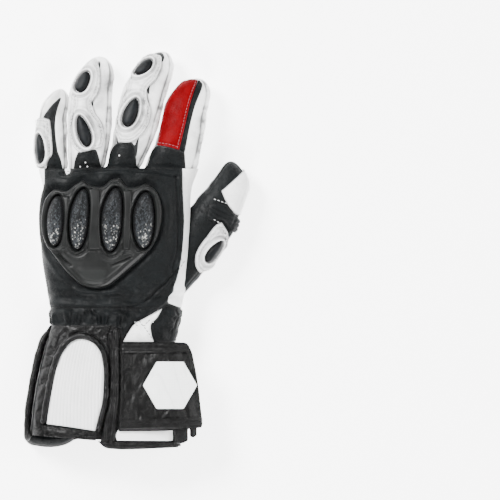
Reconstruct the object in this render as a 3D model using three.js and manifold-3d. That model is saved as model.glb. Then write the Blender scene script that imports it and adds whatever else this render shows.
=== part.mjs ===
// Left-hand motorcycle gauntlet, lying palm down as it rests by itself.
// Millimetres. +X is the thumb side, +Y runs to the fingertips, +Z is up.
import * as THREE from "three";
import { mergeVertices } from "three/addons/utils/BufferGeometryUtils.js";
import Module from "manifold-3d";

const wasm = await Module();
wasm.setup();

// Hand
const PALM_WIDTH = 111;
const HAND_LENGTH = 113; // wrist seam to finger roots
const HAND_HEIGHT = 38; // palm leather to knuckles
const CUFF_LENGTH = 87; // wrist seam to mouth
const CUFF_HEIGHT = 38;
const PALM_FLAT = 4; // how far the round palm side is pressed flat by its own weight
const MOUTH_SLANT = 3.5; // degrees

// Fingers
const LITTLE_LENGTH = 59;
const LITTLE_WIDTH = 22;
const RING_LENGTH = 83;
const RING_WIDTH = 32.5;
const MIDDLE_LENGTH = 87;
const MIDDLE_WIDTH = 33.5;
const INDEX_LENGTH = 67;
const INDEX_WIDTH = 35.5;
const FINGER_THICKNESS = 25;
const THUMB_LENGTH = 80;
const THUMB_WIDTH = 36;
const THUMB_THICKNESS = 26;
const THUMB_HEADING = 65; // degrees from +X

// Leather and trim thicknesses
const WALL = 2; // outer leather and its backing
const LEATHER = 1.2; // sewn-on panels
const PADDED = 2.2; // foam-backed armour leather
const GUARD_THICKNESS = 3.6;
const GUARD_RIB = 2; // ribs and rim above the guard's face
const INSERT_HEIGHT = 6.4;
const PAD_HEIGHT = 3.8;
const CLOTH = 0.9; // ribbed stretch cloth
const LOOP_PILE = 1.2;
const STRAP_RIB = 1.6;
const PIPING_RADIUS = 2;
const SIDE_ROLL_RADIUS = 2.6;
const BINDING = 1.1;
const EMBLEM_THICKNESS = 0.7;
const EMBLEM_WIDTH = 40;
const VENT_RADIUS = 0.9;
const GAP = 0.3; // between neighbouring pieces

const LAYER = GAP + LEATHER;
const FLOOR_CLEAR = LAYER; // the palm panel lies between the shell and the table

// Names the columns of a table of rows
function table(columns, rows) {
  return rows.map((row) => Object.fromEntries(columns.map((name, i) => [name, row[i]])));
}

// Outline of the hand and cuff: shares of palm width left and right of the middle line.
// "at" is a share of the hand's length past the wrist seam, or of the cuff's length before it.
const BODY_SECTIONS = table(
  ["at", "left", "right", "height"],
  [
    [-1.14, -0.53, 0.462, 1.0],
    [-0.81, -0.53, 0.453, 0.99],
    [-0.5, -0.497, 0.42, 0.94],
    [-0.2, -0.44, 0.41, 0.89],
    [0, -0.388, 0.44, 0.86],
    [0.2, -0.415, 0.487, 0.91],
    [0.42, -0.45, 0.52, 0.98],
    [0.7, -0.465, 0.522, 1.02],
    [0.87, -0.457, 0.532, 0.98],
    [1, -0.487, 0.578, 0.93],
  ],
);

// Closure strap's sheet: like the cuff, but reaching past its thumb side
const STRAP_SECTIONS = BODY_SECTIONS.filter((row) => row.at <= 0).map((row) => ({
  ...row,
  right: 0.63,
}));

// Finger sections: shares of the finger's length, width, thickness and the hand's height.
// "centre" is how far the finger bends to the thumb side. Past ROUND_FROM the tip is round.
const ROUND_FROM = 0.7;
const FINGER_COLUMNS = ["at", "centre", "width", "thick", "rise"];
const FINGER_SECTIONS = {
  little: table(FINGER_COLUMNS, [
    [-0.2, 0, 0.9, 0.88, 0.45],
    [0, 0, 0.92, 0.9, 0.45],
    [0.25, -0.03, 0.98, 0.92, 0.47],
    [0.47, -0.035, 0.96, 0.9, 0.44],
    [0.7, -0.02, 0.93, 0.88, 0.36],
    [1, 0.22, 0.93, 0.86, 0.3],
  ]),
  ring: table(FINGER_COLUMNS, [
    [-0.15, -0.03, 0.8, 1.04, 0.48],
    [0, 0, 0.81, 1.08, 0.5],
    [0.22, 0.055, 0.94, 1.06, 0.53],
    [0.47, 0.078, 1.0, 1.01, 0.49],
    [0.7, 0.11, 0.965, 0.96, 0.38],
    [0.85, 0.22, 0.95, 0.94, 0.33],
    [1, 0.31, 0.93, 0.92, 0.3],
  ]),
  middle: table(FINGER_COLUMNS, [
    [-0.15, -0.06, 0.72, 1.04, 0.48],
    [0, 0, 0.75, 1.08, 0.5],
    [0.22, 0.195, 0.88, 1.06, 0.53],
    [0.47, 0.345, 0.98, 1.01, 0.49],
    [0.7, 0.51, 0.98, 0.96, 0.38],
    [0.85, 0.68, 0.98, 0.94, 0.33],
    [1, 0.84, 0.98, 0.92, 0.3],
  ]),
  index: table(FINGER_COLUMNS, [
    [-0.2, -0.05, 1.1, 0.98, 0.46],
    [0, 0, 1.1, 1.0, 0.46],
    [0.22, 0.14, 1.015, 1.04, 0.49],
    [0.45, 0.255, 0.94, 1.02, 0.48],
    [0.7, 0.337, 0.91, 0.97, 0.38],
    [1, 0.54, 0.88, 0.92, 0.31],
  ]),
  thumb: table(FINGER_COLUMNS, [
    [-0.29, -0.14, 0.56, 0.9, 0.34],
    [-0.05, -0.085, 0.76, 0.97, 0.33],
    [0.2, -0.045, 0.94, 1.0, 0.335],
    [0.42, 0, 1.0, 1.0, 0.345],
    [0.6, 0.018, 0.89, 0.96, 0.34],
    [0.7, 0.04, 0.77, 0.92, 0.335],
    [0.88, 0.036, 0.77, 0.9, 0.32],
    [1, -0.08, 0.77, 0.88, 0.3],
  ]),
};

// Finger roots, as shares of the palm's width from the middle line
const ROOTS = { little: -0.386, ring: -0.168, middle: 0.077, index: 0.391 };
// Thumb root, as shares of the palm's width and the hand's length
const THUMB_ROOT = { across: 0.533, along: 0.392 };

// Forms: each is a tapering tube that shells, panels and pads follow

function bodyForm(sections) {
  const span = (share) => share * (share < 0 ? CUFF_LENGTH : HAND_LENGTH);
  return {
    origin: [0, 0],
    heading: 90,
    width: PALM_WIDTH,
    span,
    power: 3,
    sides: 20,
    sections: sections.map(({ at, left, right, height }) => {
      const full = height * (at < 0 ? CUFF_HEIGHT : HAND_HEIGHT) + PALM_FLAT;
      return {
        y: span(at),
        centre: ((left + right) / 2) * PALM_WIDTH,
        half: ((right - left) / 2) * PALM_WIDTH,
        middle: FLOOR_CLEAR - PALM_FLAT + full / 2,
        rise: full / 2,
      };
    }),
  };
}

function fingerForm(sections, length, width, thickness, origin, heading = 90) {
  return {
    origin,
    heading,
    width,
    span: (share) => share * length,
    power: 2.4,
    sides: 12,
    roundFrom: ROUND_FROM * length,
    length,
    sections: sections.map(({ at, centre, width: wide, thick, rise }) => ({
      y: at * length,
      centre: centre * width,
      half: (wide * width) / 2,
      middle: FLOOR_CLEAR + rise * HAND_HEIGHT,
      rise: (thick * thickness) / 2,
    })),
  };
}

function rootOf(name) {
  return [ROOTS[name] * PALM_WIDTH, HAND_LENGTH];
}

const body = bodyForm(BODY_SECTIONS);
const strapSheet = bodyForm(STRAP_SECTIONS);
const little = fingerForm(
  FINGER_SECTIONS.little, LITTLE_LENGTH, LITTLE_WIDTH, FINGER_THICKNESS, rootOf("little"));
const ring = fingerForm(
  FINGER_SECTIONS.ring, RING_LENGTH, RING_WIDTH, FINGER_THICKNESS, rootOf("ring"));
const middle = fingerForm(
  FINGER_SECTIONS.middle, MIDDLE_LENGTH, MIDDLE_WIDTH, FINGER_THICKNESS, rootOf("middle"));
const index = fingerForm(
  FINGER_SECTIONS.index, INDEX_LENGTH, INDEX_WIDTH, FINGER_THICKNESS, rootOf("index"));
const thumb = fingerForm(
  FINGER_SECTIONS.thumb, THUMB_LENGTH, THUMB_WIDTH, THUMB_THICKNESS,
  [THUMB_ROOT.across * PALM_WIDTH, THUMB_ROOT.along * HAND_LENGTH], THUMB_HEADING);

// Section at a distance along a form, with its slopes: a smooth curve through the table's rows
function sectionAt(form, y) {
  const rows = form.sections;
  const last = rows.length - 1;
  let i = 0;
  while (i < last - 1 && rows[i + 1].y < y) i += 1;
  const [a, b] = [rows[i], rows[i + 1]];
  const before = rows[Math.max(i - 1, 0)];
  const after = rows[Math.min(i + 2, last)];
  const step = b.y - a.y;
  const t = Math.min(Math.max((y - a.y) / step, 0), 1);
  const found = { slope: {} };
  for (const key of ["centre", "half", "middle", "rise"]) {
    const start = (step * (b[key] - before[key])) / (b.y - before.y);
    const end = (step * (after[key] - a[key])) / (after.y - a.y);
    const bend = 2 * (a[key] - b[key]) + start + end;
    const lean = 3 * (b[key] - a[key]) - 2 * start - end;
    found[key] = ((bend * t + lean) * t + start) * t + a[key];
    found.slope[key] = ((3 * bend * t + 2 * lean) * t + start) / step;
  }
  return found;
}

// How much of its full section a round tip keeps, and how fast that falls
function tipAt(form, y) {
  if (form.roundFrom === undefined || y <= form.roundFrom) return { keep: 1, slope: 0 };
  const reach = form.length - form.roundFrom;
  const t = Math.min((y - form.roundFrom) / reach, 1);
  const keep = Math.sqrt(1 - t * t);
  return { keep, slope: keep > 0 ? -t / (reach * keep) : 0 };
}

// Turns a form's own place into the part's frame
function place(form, x, y, z) {
  const turn = THREE.MathUtils.degToRad(form.heading);
  return new THREE.Vector3(
    form.origin[0] + x * Math.sin(turn) + y * Math.cos(turn),
    form.origin[1] - x * Math.cos(turn) + y * Math.sin(turn),
    z,
  );
}

// Point of a form's skin, moved out along its normal. Angle 0 is the thumb side, 90 the back.
// The underside is flat where the piece lies on the table.
function surface(form, y, angle, offset) {
  const s = sectionAt(form, y);
  const tip = tipAt(form, y);
  if (tip.keep < 1e-6) {
    const out = new THREE.Vector3(s.slope.centre, 1, s.slope.middle).setLength(offset);
    return place(form, s.centre + out.x, y + out.y, s.middle + out.z);
  }
  const { power } = form;
  const turn = THREE.MathUtils.degToRad(angle);
  const grow =
    (Math.abs(Math.cos(turn)) ** power + Math.abs(Math.sin(turn)) ** power) ** (-1 / power);
  const across = grow * Math.cos(turn);
  const up = grow * Math.sin(turn);
  const half = s.half * tip.keep;
  const rise = s.rise * tip.keep;
  const x = s.centre + half * across;
  const z = s.middle + rise * up;
  if (z < FLOOR_CLEAR) return place(form, x, y, FLOOR_CLEAR - offset);
  const sideways = (Math.sign(across) * Math.abs(across) ** (power - 1)) / half;
  const upward = (Math.sign(up) * Math.abs(up) ** (power - 1)) / rise;
  const halfSlope = s.slope.half * tip.keep + s.half * tip.slope;
  const riseSlope = s.slope.rise * tip.keep + s.rise * tip.slope;
  const forward =
    -sideways * (s.slope.centre + across * halfSlope) - upward * (s.slope.middle + up * riseSlope);
  const out = new THREE.Vector3(sideways, forward, upward).normalize().multiplyScalar(offset);
  return place(form, x + out.x, y + out.y, Math.max(z + out.z, FLOOR_CLEAR - offset));
}

// Angle on a form's back where it is seen at a place across, in mm from the form's own line
function angleAt(form, y, x) {
  const s = sectionAt(form, y);
  const share = (x - s.centre) / (s.half * tipAt(form, y).keep);
  const u = Math.min(Math.max(Math.abs(share), 1e-6), 1);
  const rise = (u ** -form.power - 1) ** (1 / form.power);
  return THREE.MathUtils.radToDeg(Math.atan2(rise, Math.sign(share)));
}

// Solids

function toSolid(geometry) {
  geometry.deleteAttribute("normal");
  geometry.deleteAttribute("uv");
  const merged = mergeVertices(geometry, 1e-4);
  const corners = merged.index.array;
  const kept = [];
  for (let i = 0; i < corners.length; i += 3) {
    const [a, b, c] = corners.slice(i, i + 3);
    if (a !== b && b !== c && c !== a) kept.push(a, b, c);
  }
  const build = (triVerts) =>
    new wasm.Manifold(
      new wasm.Mesh({
        numProp: 3,
        vertProperties: new Float32Array(merged.attributes.position.array),
        triVerts: new Uint32Array(triVerts),
      }),
    );
  const solid = build(kept);
  return solid.volume() > 0 ? solid : build(kept.reverse());
}

// Closed body from triangles of THREE.Vector3 corners
function fromTriangles(triangles) {
  const geometry = new THREE.BufferGeometry().setFromPoints(triangles.flat());
  return toSolid(geometry);
}

// Two triangles of a four-sided face
function quad(a, b, c, d) {
  return [[a, b, c], [a, c, d]];
}

// Distances along a form where it has a ring of points
function ringsOf(form, from, to) {
  const rings = form.sections.map((row) => row.y).filter((y) => y > from + 1 && y < to - 1);
  if (form.roundFrom === undefined || to <= form.roundFrom) return [from, ...rings, to];
  const straight = rings.filter((y) => y <= form.roundFrom);
  const reach = form.length - form.roundFrom;
  const round = [35, 63, 90].map(
    (turn) => form.roundFrom + reach * Math.sin(THREE.MathUtils.degToRad(turn)));
  return [from, ...straight, ...round];
}

// Where a form starts and ends
function endsOf(form) {
  const rows = form.sections;
  return [rows[0].y, form.length ?? rows[rows.length - 1].y];
}

// Whole form, moved in or out
function skin(form, offset, from = endsOf(form)[0], to = endsOf(form)[1]) {
  const angles = Array.from({ length: form.sides }, (_, i) => (360 * i) / form.sides);
  const rows = ringsOf(form, from, to).map((y) => angles.map((a) => surface(form, y, a, offset)));
  const triangles = [];
  const next = (i) => (i + 1) % form.sides;
  for (let r = 0; r < rows.length - 1; r += 1) {
    for (let i = 0; i < form.sides; i += 1) {
      triangles.push(...quad(rows[r][i], rows[r][next(i)], rows[r + 1][next(i)], rows[r + 1][i]));
    }
  }
  const middleOf = (row) =>
    row.reduce((sum, point) => sum.add(point), new THREE.Vector3()).divideScalar(row.length);
  const [first, last] = [rows[0], rows[rows.length - 1]];
  const [firstMiddle, lastMiddle] = [middleOf(first), middleOf(last)];
  for (let i = 0; i < form.sides; i += 1) {
    triangles.push([first[next(i)], first[i], firstMiddle]);
    triangles.push([last[i], last[next(i)], lastMiddle]);
  }
  return fromTriangles(triangles);
}

// Which part of a form a sheet covers, in degrees from the thumb side over the back
const BACK_SIDE = [0, 180];
const ROUND_BACK_SIDE = [-14, 194];
const PALM_SIDE = [216, 324];
const CUFF_FRONT_SIDE = [0, 161];
const CUFF_PALM_SIDE = [184, 340];

// Sheet of even thickness that follows a form, between two distances above it
function sheet(form, low, high, [start, end] = BACK_SIDE) {
  const step = 360 / form.sides;
  const angles = [start];
  for (let a = step * (Math.floor(start / step) + 1); a < end; a += step) angles.push(a);
  angles.push(end);
  const stops = ringsOf(form, ...endsOf(form));
  const face = (offset) => stops.map((y) => angles.map((a) => surface(form, y, a, offset)));
  const [inner, outer] = [face(low), face(high)];
  const triangles = [];
  const [lastRow, lastColumn] = [stops.length - 1, angles.length - 1];
  const cell = (rows, r, i) =>
    quad(rows[r][i], rows[r][i + 1], rows[r + 1][i + 1], rows[r + 1][i]);
  const turned = (faces) => faces.map((face) => face.toReversed());
  for (let r = 0; r < lastRow; r += 1) {
    for (let i = 0; i < lastColumn; i += 1) {
      triangles.push(...cell(outer, r, i), ...turned(cell(inner, r, i)));
    }
    const side = (i) => quad(inner[r][i], outer[r][i], outer[r + 1][i], inner[r + 1][i]);
    triangles.push(...side(0), ...turned(side(lastColumn)));
  }
  for (let i = 0; i < lastColumn; i += 1) {
    const edge = (r) => quad(inner[r][i + 1], outer[r][i + 1], outer[r][i], inner[r][i]);
    triangles.push(...edge(0), ...turned(edge(lastRow)));
  }
  return fromTriangles(triangles);
}

// Column of a plan outline, tall enough to cut through the whole glove
function column(points) {
  const tall = 4 * HAND_HEIGHT;
  const shape = new THREE.Shape(points.map(([x, y]) => new THREE.Vector2(x, y)));
  const geometry = new THREE.ExtrudeGeometry(shape, { depth: tall, bevelEnabled: false });
  return toSolid(geometry.translate(0, 0, -tall / 4));
}

// Plan points of rows that hold shares of a form's width and length
function planOf(form, rows) {
  return rows.map(({ across, along }) => {
    const point = place(form, across * form.width, form.span(along), 0);
    return [point.x, point.y];
  });
}

// Rounds an outline into a smooth closed curve
function rounded(points, steps) {
  const knots = points.map(([x, y]) => new THREE.Vector3(x, y, 0));
  const curve = new THREE.CatmullRomCurve3(knots, true, "centripetal");
  return curve.getPoints(steps).slice(0, steps).map(({ x, y }) => [x, y]);
}

// Corners of a regular polygon
function polygon(x, y, radius, sides) {
  return Array.from({ length: sides }, (_, i) => {
    const turn = (2 * Math.PI * i) / sides;
    return [x + radius * Math.cos(turn), y + radius * Math.sin(turn)];
  });
}

// Draws an open line as a smooth curve
function smoothed(points, steps) {
  const knots = points.map(([x, y]) => new THREE.Vector3(x, y, 0));
  const curve = new THREE.CatmullRomCurve3(knots, false, "centripetal");
  return curve.getSpacedPoints(steps).map(({ x, y }) => [x, y]);
}

// Moves each corner of an outline outwards, or each point of an open line to its left
function outset(points, distance, closed = true) {
  const count = points.length;
  const turn = closed ? Math.sign(areaOf(points)) : -1;
  return points.map(([x, y], i) => {
    const before = points[closed ? (i + count - 1) % count : Math.max(i - 1, 0)];
    const after = points[closed ? (i + 1) % count : Math.min(i + 1, count - 1)];
    const into = new THREE.Vector2(x - before[0], y - before[1]).normalize();
    const away = new THREE.Vector2(after[0] - x, after[1] - y).normalize();
    const along = into.clone().add(away).normalize();
    const corner = Math.max(Math.abs(along.dot(away.length() ? away : into)), 0.4);
    const shift = (turn * distance) / corner;
    return [x + along.y * shift, y - along.x * shift];
  });
}

function areaOf(points) {
  return THREE.ShapeUtils.area(points.map(([x, y]) => new THREE.Vector2(x, y)));
}

// Panel cut from a sheet to an outline, clear of its neighbours' outlines
function panel(form, low, high, outline, { steps = 0, side = BACK_SIDE, clearOf = [] } = {}) {
  const points = planOf(form, outline);
  let piece = sheet(form, low, high, side).intersect(column(steps ? rounded(points, steps) : points));
  for (const other of clearOf) {
    piece = piece.subtract(column(outset(planOf(form, other), GAP)));
  }
  return piece;
}

// Frame on a form's skin: its Z axis points out, its Y axis along the form, turned by a tilt
function seatOn(form, across, along, offset, tilt) {
  const y = form.span(along);
  const angle = angleAt(form, y, across * form.width);
  const at = surface(form, y, angle, offset);
  const out = surface(form, y, angle, offset + 1).sub(at).normalize();
  const ahead = surface(form, y + 1, angle, offset).sub(at);
  const right = new THREE.Vector3().crossVectors(ahead, out).normalize();
  ahead.crossVectors(out, right);
  const frame = new THREE.Matrix4().makeBasis(right, ahead, out).setPosition(at);
  return frame.multiply(new THREE.Matrix4().makeRotationZ(THREE.MathUtils.degToRad(tilt)));
}

// Domed seed shape lying along its Y axis, blunt at its low end and more pointed at its high end
function seed(length, width, height, pointed) {
  const steps = 6;
  const profile = Array.from({ length: steps + 1 }, (_, i) => {
    const turn = (Math.PI * i) / steps;
    const slim = 1 - pointed * (0.5 - 0.5 * Math.cos(turn));
    const radius = i === 0 || i === steps ? 0 : Math.sin(turn) * slim;
    return new THREE.Vector2((radius * width) / 2, (-Math.cos(turn) * length) / 2);
  });
  const geometry = new THREE.LatheGeometry(profile, 8);
  return geometry.scale(1, 1, height / (width / 2));
}

// Pad or insert seated on a form, with a cutter for the window that it fills
function domed(form, low, { across, along, length, width, height, tilt, pointed }) {
  const frame = seatOn(form, across, along, low, tilt);
  const shaped = (extra) =>
    toSolid(
      seed(length + 2 * extra, width + 2 * extra, height + extra, pointed).applyMatrix4(frame));
  return { piece: shaped(0).subtract(skin(form, low)), window: shaped(2 * GAP) };
}

// Round cord along points of a form's skin
function roll(form, radius, offset, path, steps) {
  const points = path.map(({ angle, along }) =>
    surface(form, form.span(along), angle, offset + radius));
  const curve = new THREE.CatmullRomCurve3(points, false, "centripetal");
  const round = new THREE.Shape().absarc(0, 0, radius, 0, 2 * Math.PI);
  const geometry = new THREE.ExtrudeGeometry(round, {
    steps,
    curveSegments: 4,
    extrudePath: curve,
  });
  return toSolid(geometry);
}

// Block that holds everything on one side of a plane across the glove
function beyond(y, side, slant = 0) {
  const size = 8 * HAND_LENGTH;
  const block = new THREE.BoxGeometry(size, size, size).translate(0, (side * size) / 2, 0);
  block.rotateZ(THREE.MathUtils.degToRad(slant)).translate(0, y, 0);
  return toSolid(block);
}

// Outlines seen from above: shares of a form's width from its own line, and of its length
const PLAN = ["across", "along"];

const BACK = table(PLAN, [
  [-0.44, 0.985], [-0.45, 0.9], [-0.47, 0.82], [-0.52, 0.75], [-0.54, 0.57], [-0.53, 0.39],
  [-0.5, 0.2], [-0.47, 0.088], [-0.11, 0.082], [0.25, 0.085], [0.325, 0.105], [0.375, 0.155],
  [0.435, 0.295], [0.47, 0.46], [0.48, 0.62], [0.475, 0.8], [0.465, 0.985],
]);
const WRIST_BAND = table(PLAN, [
  [-0.5, 0.078], [-0.11, 0.072], [0.25, 0.075], [0.32, 0.09], [0.28, 0.069], [0.21, 0.033],
  [0.143, -0.008], [0.1, -0.089], [0.07, -0.16], [0.066, -0.06], [0.01, -0.013], [-0.46, -0.013],
]);
const WRIST_GUSSET = table(PLAN, [
  [0.338, 0.089], [0.287, 0.062], [0.22, 0.027], [0.15, -0.019], [0.108, -0.097], [0.077, -0.166],
  [0.283, -0.166], [0.264, -0.085], [0.264, -0.013], [0.297, 0.022],
]);
const WRIST_TAB = table(PLAN, [
  [0.364, 0.116], [0.5, 0.076], [0.49, -0.005], [0.46, -0.168], [0.29, -0.168],
  [0.272, -0.086], [0.272, -0.017], [0.305, 0.02], [0.345, 0.09],
]);
const GUARD = table(PLAN, [
  [-0.467, 0.72], [-0.44, 0.81], [-0.38, 0.865], [-0.3, 0.855], [-0.24, 0.895], [-0.19, 0.925],
  [-0.135, 0.89], [-0.05, 0.887], [0, 0.928], [0.055, 0.94], [0.11, 0.88], [0.18, 0.884],
  [0.227, 0.902], [0.29, 0.863], [0.333, 0.775], [0.337, 0.667], [0.3, 0.542], [0.233, 0.445],
  [0.127, 0.353], [0.04, 0.28], [-0.027, 0.235], [-0.11, 0.222], [-0.193, 0.242], [-0.267, 0.3],
  [-0.36, 0.4], [-0.433, 0.497], [-0.47, 0.6],
]);
const GUARD_RIBS = [
  table(PLAN, [[-0.325, 0.81], [-0.28, 0.81], [-0.295, 0.49], [-0.33, 0.5]]),
  table(PLAN, [[-0.145, 0.86], [-0.08, 0.86], [-0.07, 0.48], [-0.15, 0.48]]),
  table(PLAN, [[0.08, 0.85], [0.135, 0.85], [0.12, 0.48], [0.08, 0.48]]),
  table(PLAN, [[-0.215, 0.347], [-0.03, 0.347], [-0.055, 0.255], [-0.185, 0.258]]),
];
const INSERT_COLUMNS = ["name", "across", "along", "length", "width", "tilt"];
const INSERTS = table(INSERT_COLUMNS, [
  ["little", -0.37, 0.66, 0.33, 0.11, -4],
  ["ring", -0.213, 0.67, 0.4, 0.125, -6],
  ["middle", 0.004, 0.668, 0.42, 0.14, -5],
  ["index", 0.215, 0.663, 0.37, 0.14, -2],
]);
const CUFF_FRONT = table(PLAN, [
  [-0.46, -0.025], [-0.007, -0.025], [-0.03, -0.11], [-0.018, -0.237], [-0.018, -0.534],
  [-0.03, -0.729], [-0.075, -0.831], [-0.09, -0.9], [-0.09, -0.94], [-0.48, -0.91],
  [-0.524, -0.895], [-0.517, -0.75], [-0.5, -0.6], [-0.47, -0.39], [-0.44, -0.23], [-0.42, -0.12],
]);
const ARCH = table(PLAN, [
  [-0.431, -0.861], [-0.421, -0.763], [-0.396, -0.576], [-0.363, -0.381], [-0.323, -0.254],
  [-0.278, -0.18], [-0.213, -0.143], [-0.137, -0.165], [-0.083, -0.23], [-0.057, -0.345],
  [-0.052, -0.531], [-0.063, -0.695], [-0.087, -0.808], [-0.108, -0.919],
]);
const SEAM_BAND = table(PLAN, [
  [0.005, -0.023], [0.052, -0.076], [0.048, -0.195], [0.048, -0.661], [0.033, -0.915],
  [0.007, -0.992], [-0.06, -0.985], [-0.055, -0.839], [-0.02, -0.737], [-0.005, -0.534],
  [-0.005, -0.237], [-0.018, -0.119],
]);
const SEAM_ROLLS = [
  table(PLAN, [
    [-0.01, -0.119], [0.013, -0.119], [0.017, -0.534], [0.003, -0.737], [-0.025, -0.95],
    [-0.054, -0.95], [-0.047, -0.839], [-0.015, -0.737], [0.001, -0.534], [0.001, -0.237],
  ]),
  table(PLAN, [
    [0.024, -0.1], [0.044, -0.1], [0.044, -0.661], [0.028, -0.915], [0.005, -0.96],
    [-0.018, -0.96], [0.012, -0.737], [0.026, -0.534],
  ]),
];
const HEM = table(PLAN, [[-0.445, -0.872], [-0.1, -0.931], [-0.1, -1], [-0.455, -0.965]]);
const PALM = table(PLAN, [[-0.6, 0.01], [-0.6, 0.985], [0.35, 0.985], [0.35, 0.01]]);
const CUFF_PALM = table(PLAN, [
  [-0.65, -0.025], [-0.65, -0.96], [-0.58, -1.03], [-0.52, -1.062], [-0.38, -1.062],
  [-0.3, -1.035], [-0.25, -0.99], [-0.1, -0.99], [0.1, -1.05], [0.44, -1.055], [0.6, -1.03],
  [0.6, -0.025],
]);
const MOUTH_BINDING = table(PLAN, [
  [-0.09, -1.005], [-0.047, -1.057], [0.04, -1.075], [0.45, -1.06], [0.45, -1.015],
  [0.04, -1.015],
]);
const LOOP_PATCH = table(PLAN, [
  [0.036, -0.935], [0.031, -0.968], [0.038, -1.0], [0.41, -1.004], [0.41, -0.32],
  [0.08, -0.32], [0.066, -0.87],
]);
const FLAP = table(PLAN, [
  [0.067, -0.173], [0.453, -0.17], [0.5, -0.178], [0.53, -0.237], [0.553, -0.353],
  [0.578, -0.531], [0.595, -0.71], [0.608, -0.864], [0.602, -0.892], [0.413, -0.915],
  [0.047, -0.922], [0.062, -0.703],
]);
const FLAP_TOP = table(PLAN, [
  [0.07, -0.178], [0.453, -0.175], [0.493, -0.183], [0.522, -0.255], [0.07, -0.263],
]);
const FLAP_BOTTOM = table(PLAN, [
  [0.057, -0.835], [0.602, -0.8], [0.604, -0.86], [0.597, -0.887], [0.413, -0.909],
  [0.052, -0.915],
]);
const EMBLEM_PLACE = { across: 0.39, along: -0.535 };
const HOOK_TABS = {
  near: table(PLAN, [
    [0.42, -0.88], [0.511, -0.87], [0.511, -1], [0.48, -1.022], [0.427, -1.017],
  ]),
  far: table(PLAN, [[0.525, -0.87], [0.571, -0.86], [0.571, -0.958], [0.547, -0.977], [0.527, -0.966]]),
};

const KNUCKLE_TABS = {
  little: table(PLAN, [
    [-0.22, 0.013], [-0.185, 0.075], [-0.017, 0.176], [0.12, 0.205], [0.235, 0.1], [0.32, 0.013],
  ]),
  ring: table(PLAN, [
    [-0.18, 0.135], [0.215, 0.16], [0.278, 0.098], [0.335, 0.009], [-0.303, 0.009],
    [-0.246, 0.078],
  ]),
  middle: table(PLAN, [
    [-0.135, 0.21], [0.177, 0.214], [0.243, 0.17], [0.296, 0.009], [-0.353, 0.009],
    [-0.298, 0.136], [-0.232, 0.187],
  ]),
  index: table(PLAN, [
    [-0.33, 0.24], [-0.054, 0.228], [0.188, 0.197], [0.265, 0.179], [0.3, 0.011],
    [-0.512, 0.011], [-0.46, 0.087], [-0.4, 0.188],
  ]),
};
const VENTS = {
  little: table(PLAN, [[0.034, 0.113], [-0.067, 0.05], [0.135, 0.05]]),
  ring: table(PLAN, [[-0.018, 0.1], [-0.132, 0.05], [0.09, 0.05]]),
  middle: table(PLAN, [[-0.086, 0.111], [0.033, 0.055], [-0.199, 0.055]]),
  index: table(PLAN, [[-0.158, 0.127], [-0.283, 0.06], [-0.012, 0.065]]),
};
const LITTLE_BACK = table(PLAN, [
  [0.22, 0.88], [0.1, 0.765], [0.02, 0.627], [0.02, 0.427], [0.1, 0.22], [-0.017, 0.193],
  [0, 0.238], [-0.057, 0.489], [-0.108, 0.62], [-0.34, 0.65], [-0.034, 0.79],
]);
const LITTLE_ARMOUR = table(PLAN, [
  [-0.36, 0.637], [-0.13, 0.615], [-0.08, 0.489], [-0.03, 0.238], [-0.05, 0.182],
  [-0.215, 0.082], [-0.256, 0.013], [-0.808, 0.013], [-0.808, 0.64],
]);
const RING_ARMOUR = table(PLAN, [
  [-0.16, 0.15], [-0.326, 0.205], [-0.417, 0.33], [-0.383, 0.472], [-0.326, 0.588],
  [-0.35, 0.722], [-0.2, 0.833], [0.027, 0.94], [0.2, 0.975], [0.285, 0.918], [0.323, 0.775],
  [0.267, 0.668], [0.153, 0.588], [0.21, 0.499], [0.369, 0.414], [0.437, 0.303], [0.38, 0.196],
  [0.22, 0.178],
]);
const MIDDLE_ARMOUR = table(PLAN, [
  [-0.12, 0.225], [-0.2, 0.306], [-0.155, 0.434], [-0.022, 0.578], [0.044, 0.672],
  [0.132, 0.774], [0.276, 0.863], [0.453, 0.94], [0.67, 0.97], [0.85, 0.94], [0.84, 0.85],
  [0.717, 0.757], [0.541, 0.676], [0.552, 0.595], [0.629, 0.502], [0.596, 0.391],
  [0.43, 0.298], [0.21, 0.232],
]);
const INDEX_PANEL = table(PLAN, [
  [0.32, 0.97], [0.57, 0.975], [0.425, 0.744], [0.315, 0.497], [0.183, 0.212],
  [-0.054, 0.245], [-0.3, 0.262], [-0.2, 0.519], [-0.1, 0.726], [0.067, 0.866],
]);
const INDEX_STRIP = table(PLAN, [
  [0.595, 0.975], [0.665, 0.94], [0.644, 0.895], [0.498, 0.709], [0.404, 0.53],
  [0.321, 0.32], [0.275, 0.192], [0.2, 0.21], [0.331, 0.497], [0.441, 0.74],
]);
const THUMB_TIP = table(PLAN, [
  [0.208, 1.003], [0.357, 0.925], [0.598, 0.605], [0.453, 0.572], [0.145, 0.63],
  [-0.07, 0.709], [0.023, 0.797], [0.106, 0.883],
]);
const THUMB_STRAP = table(PLAN, [
  [-0.187, 0.553], [-0.079, 0.58], [0.148, 0.61], [0.45, 0.556], [0.585, 0.531],
  [0.586, 0.415], [0.462, 0.415], [0.317, 0.455], [0.201, 0.47], [0.104, 0.43],
  [-0.094, 0.42],
]);
const THUMB_ARMOUR = table(PLAN, [
  [0.215, 0.45], [0.34, 0.42], [0.47, 0.375], [0.53, 0.3], [0.53, 0.122], [0.42, 0.02],
  [0.281, -0.058], [0.132, -0.02], [0.014, 0.072], [0.005, 0.159], [0.062, 0.277],
  [0.135, 0.406],
]);
const PAD_COLUMNS = ["name", "across", "along", "length", "width", "tilt", "pointed"];
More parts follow.
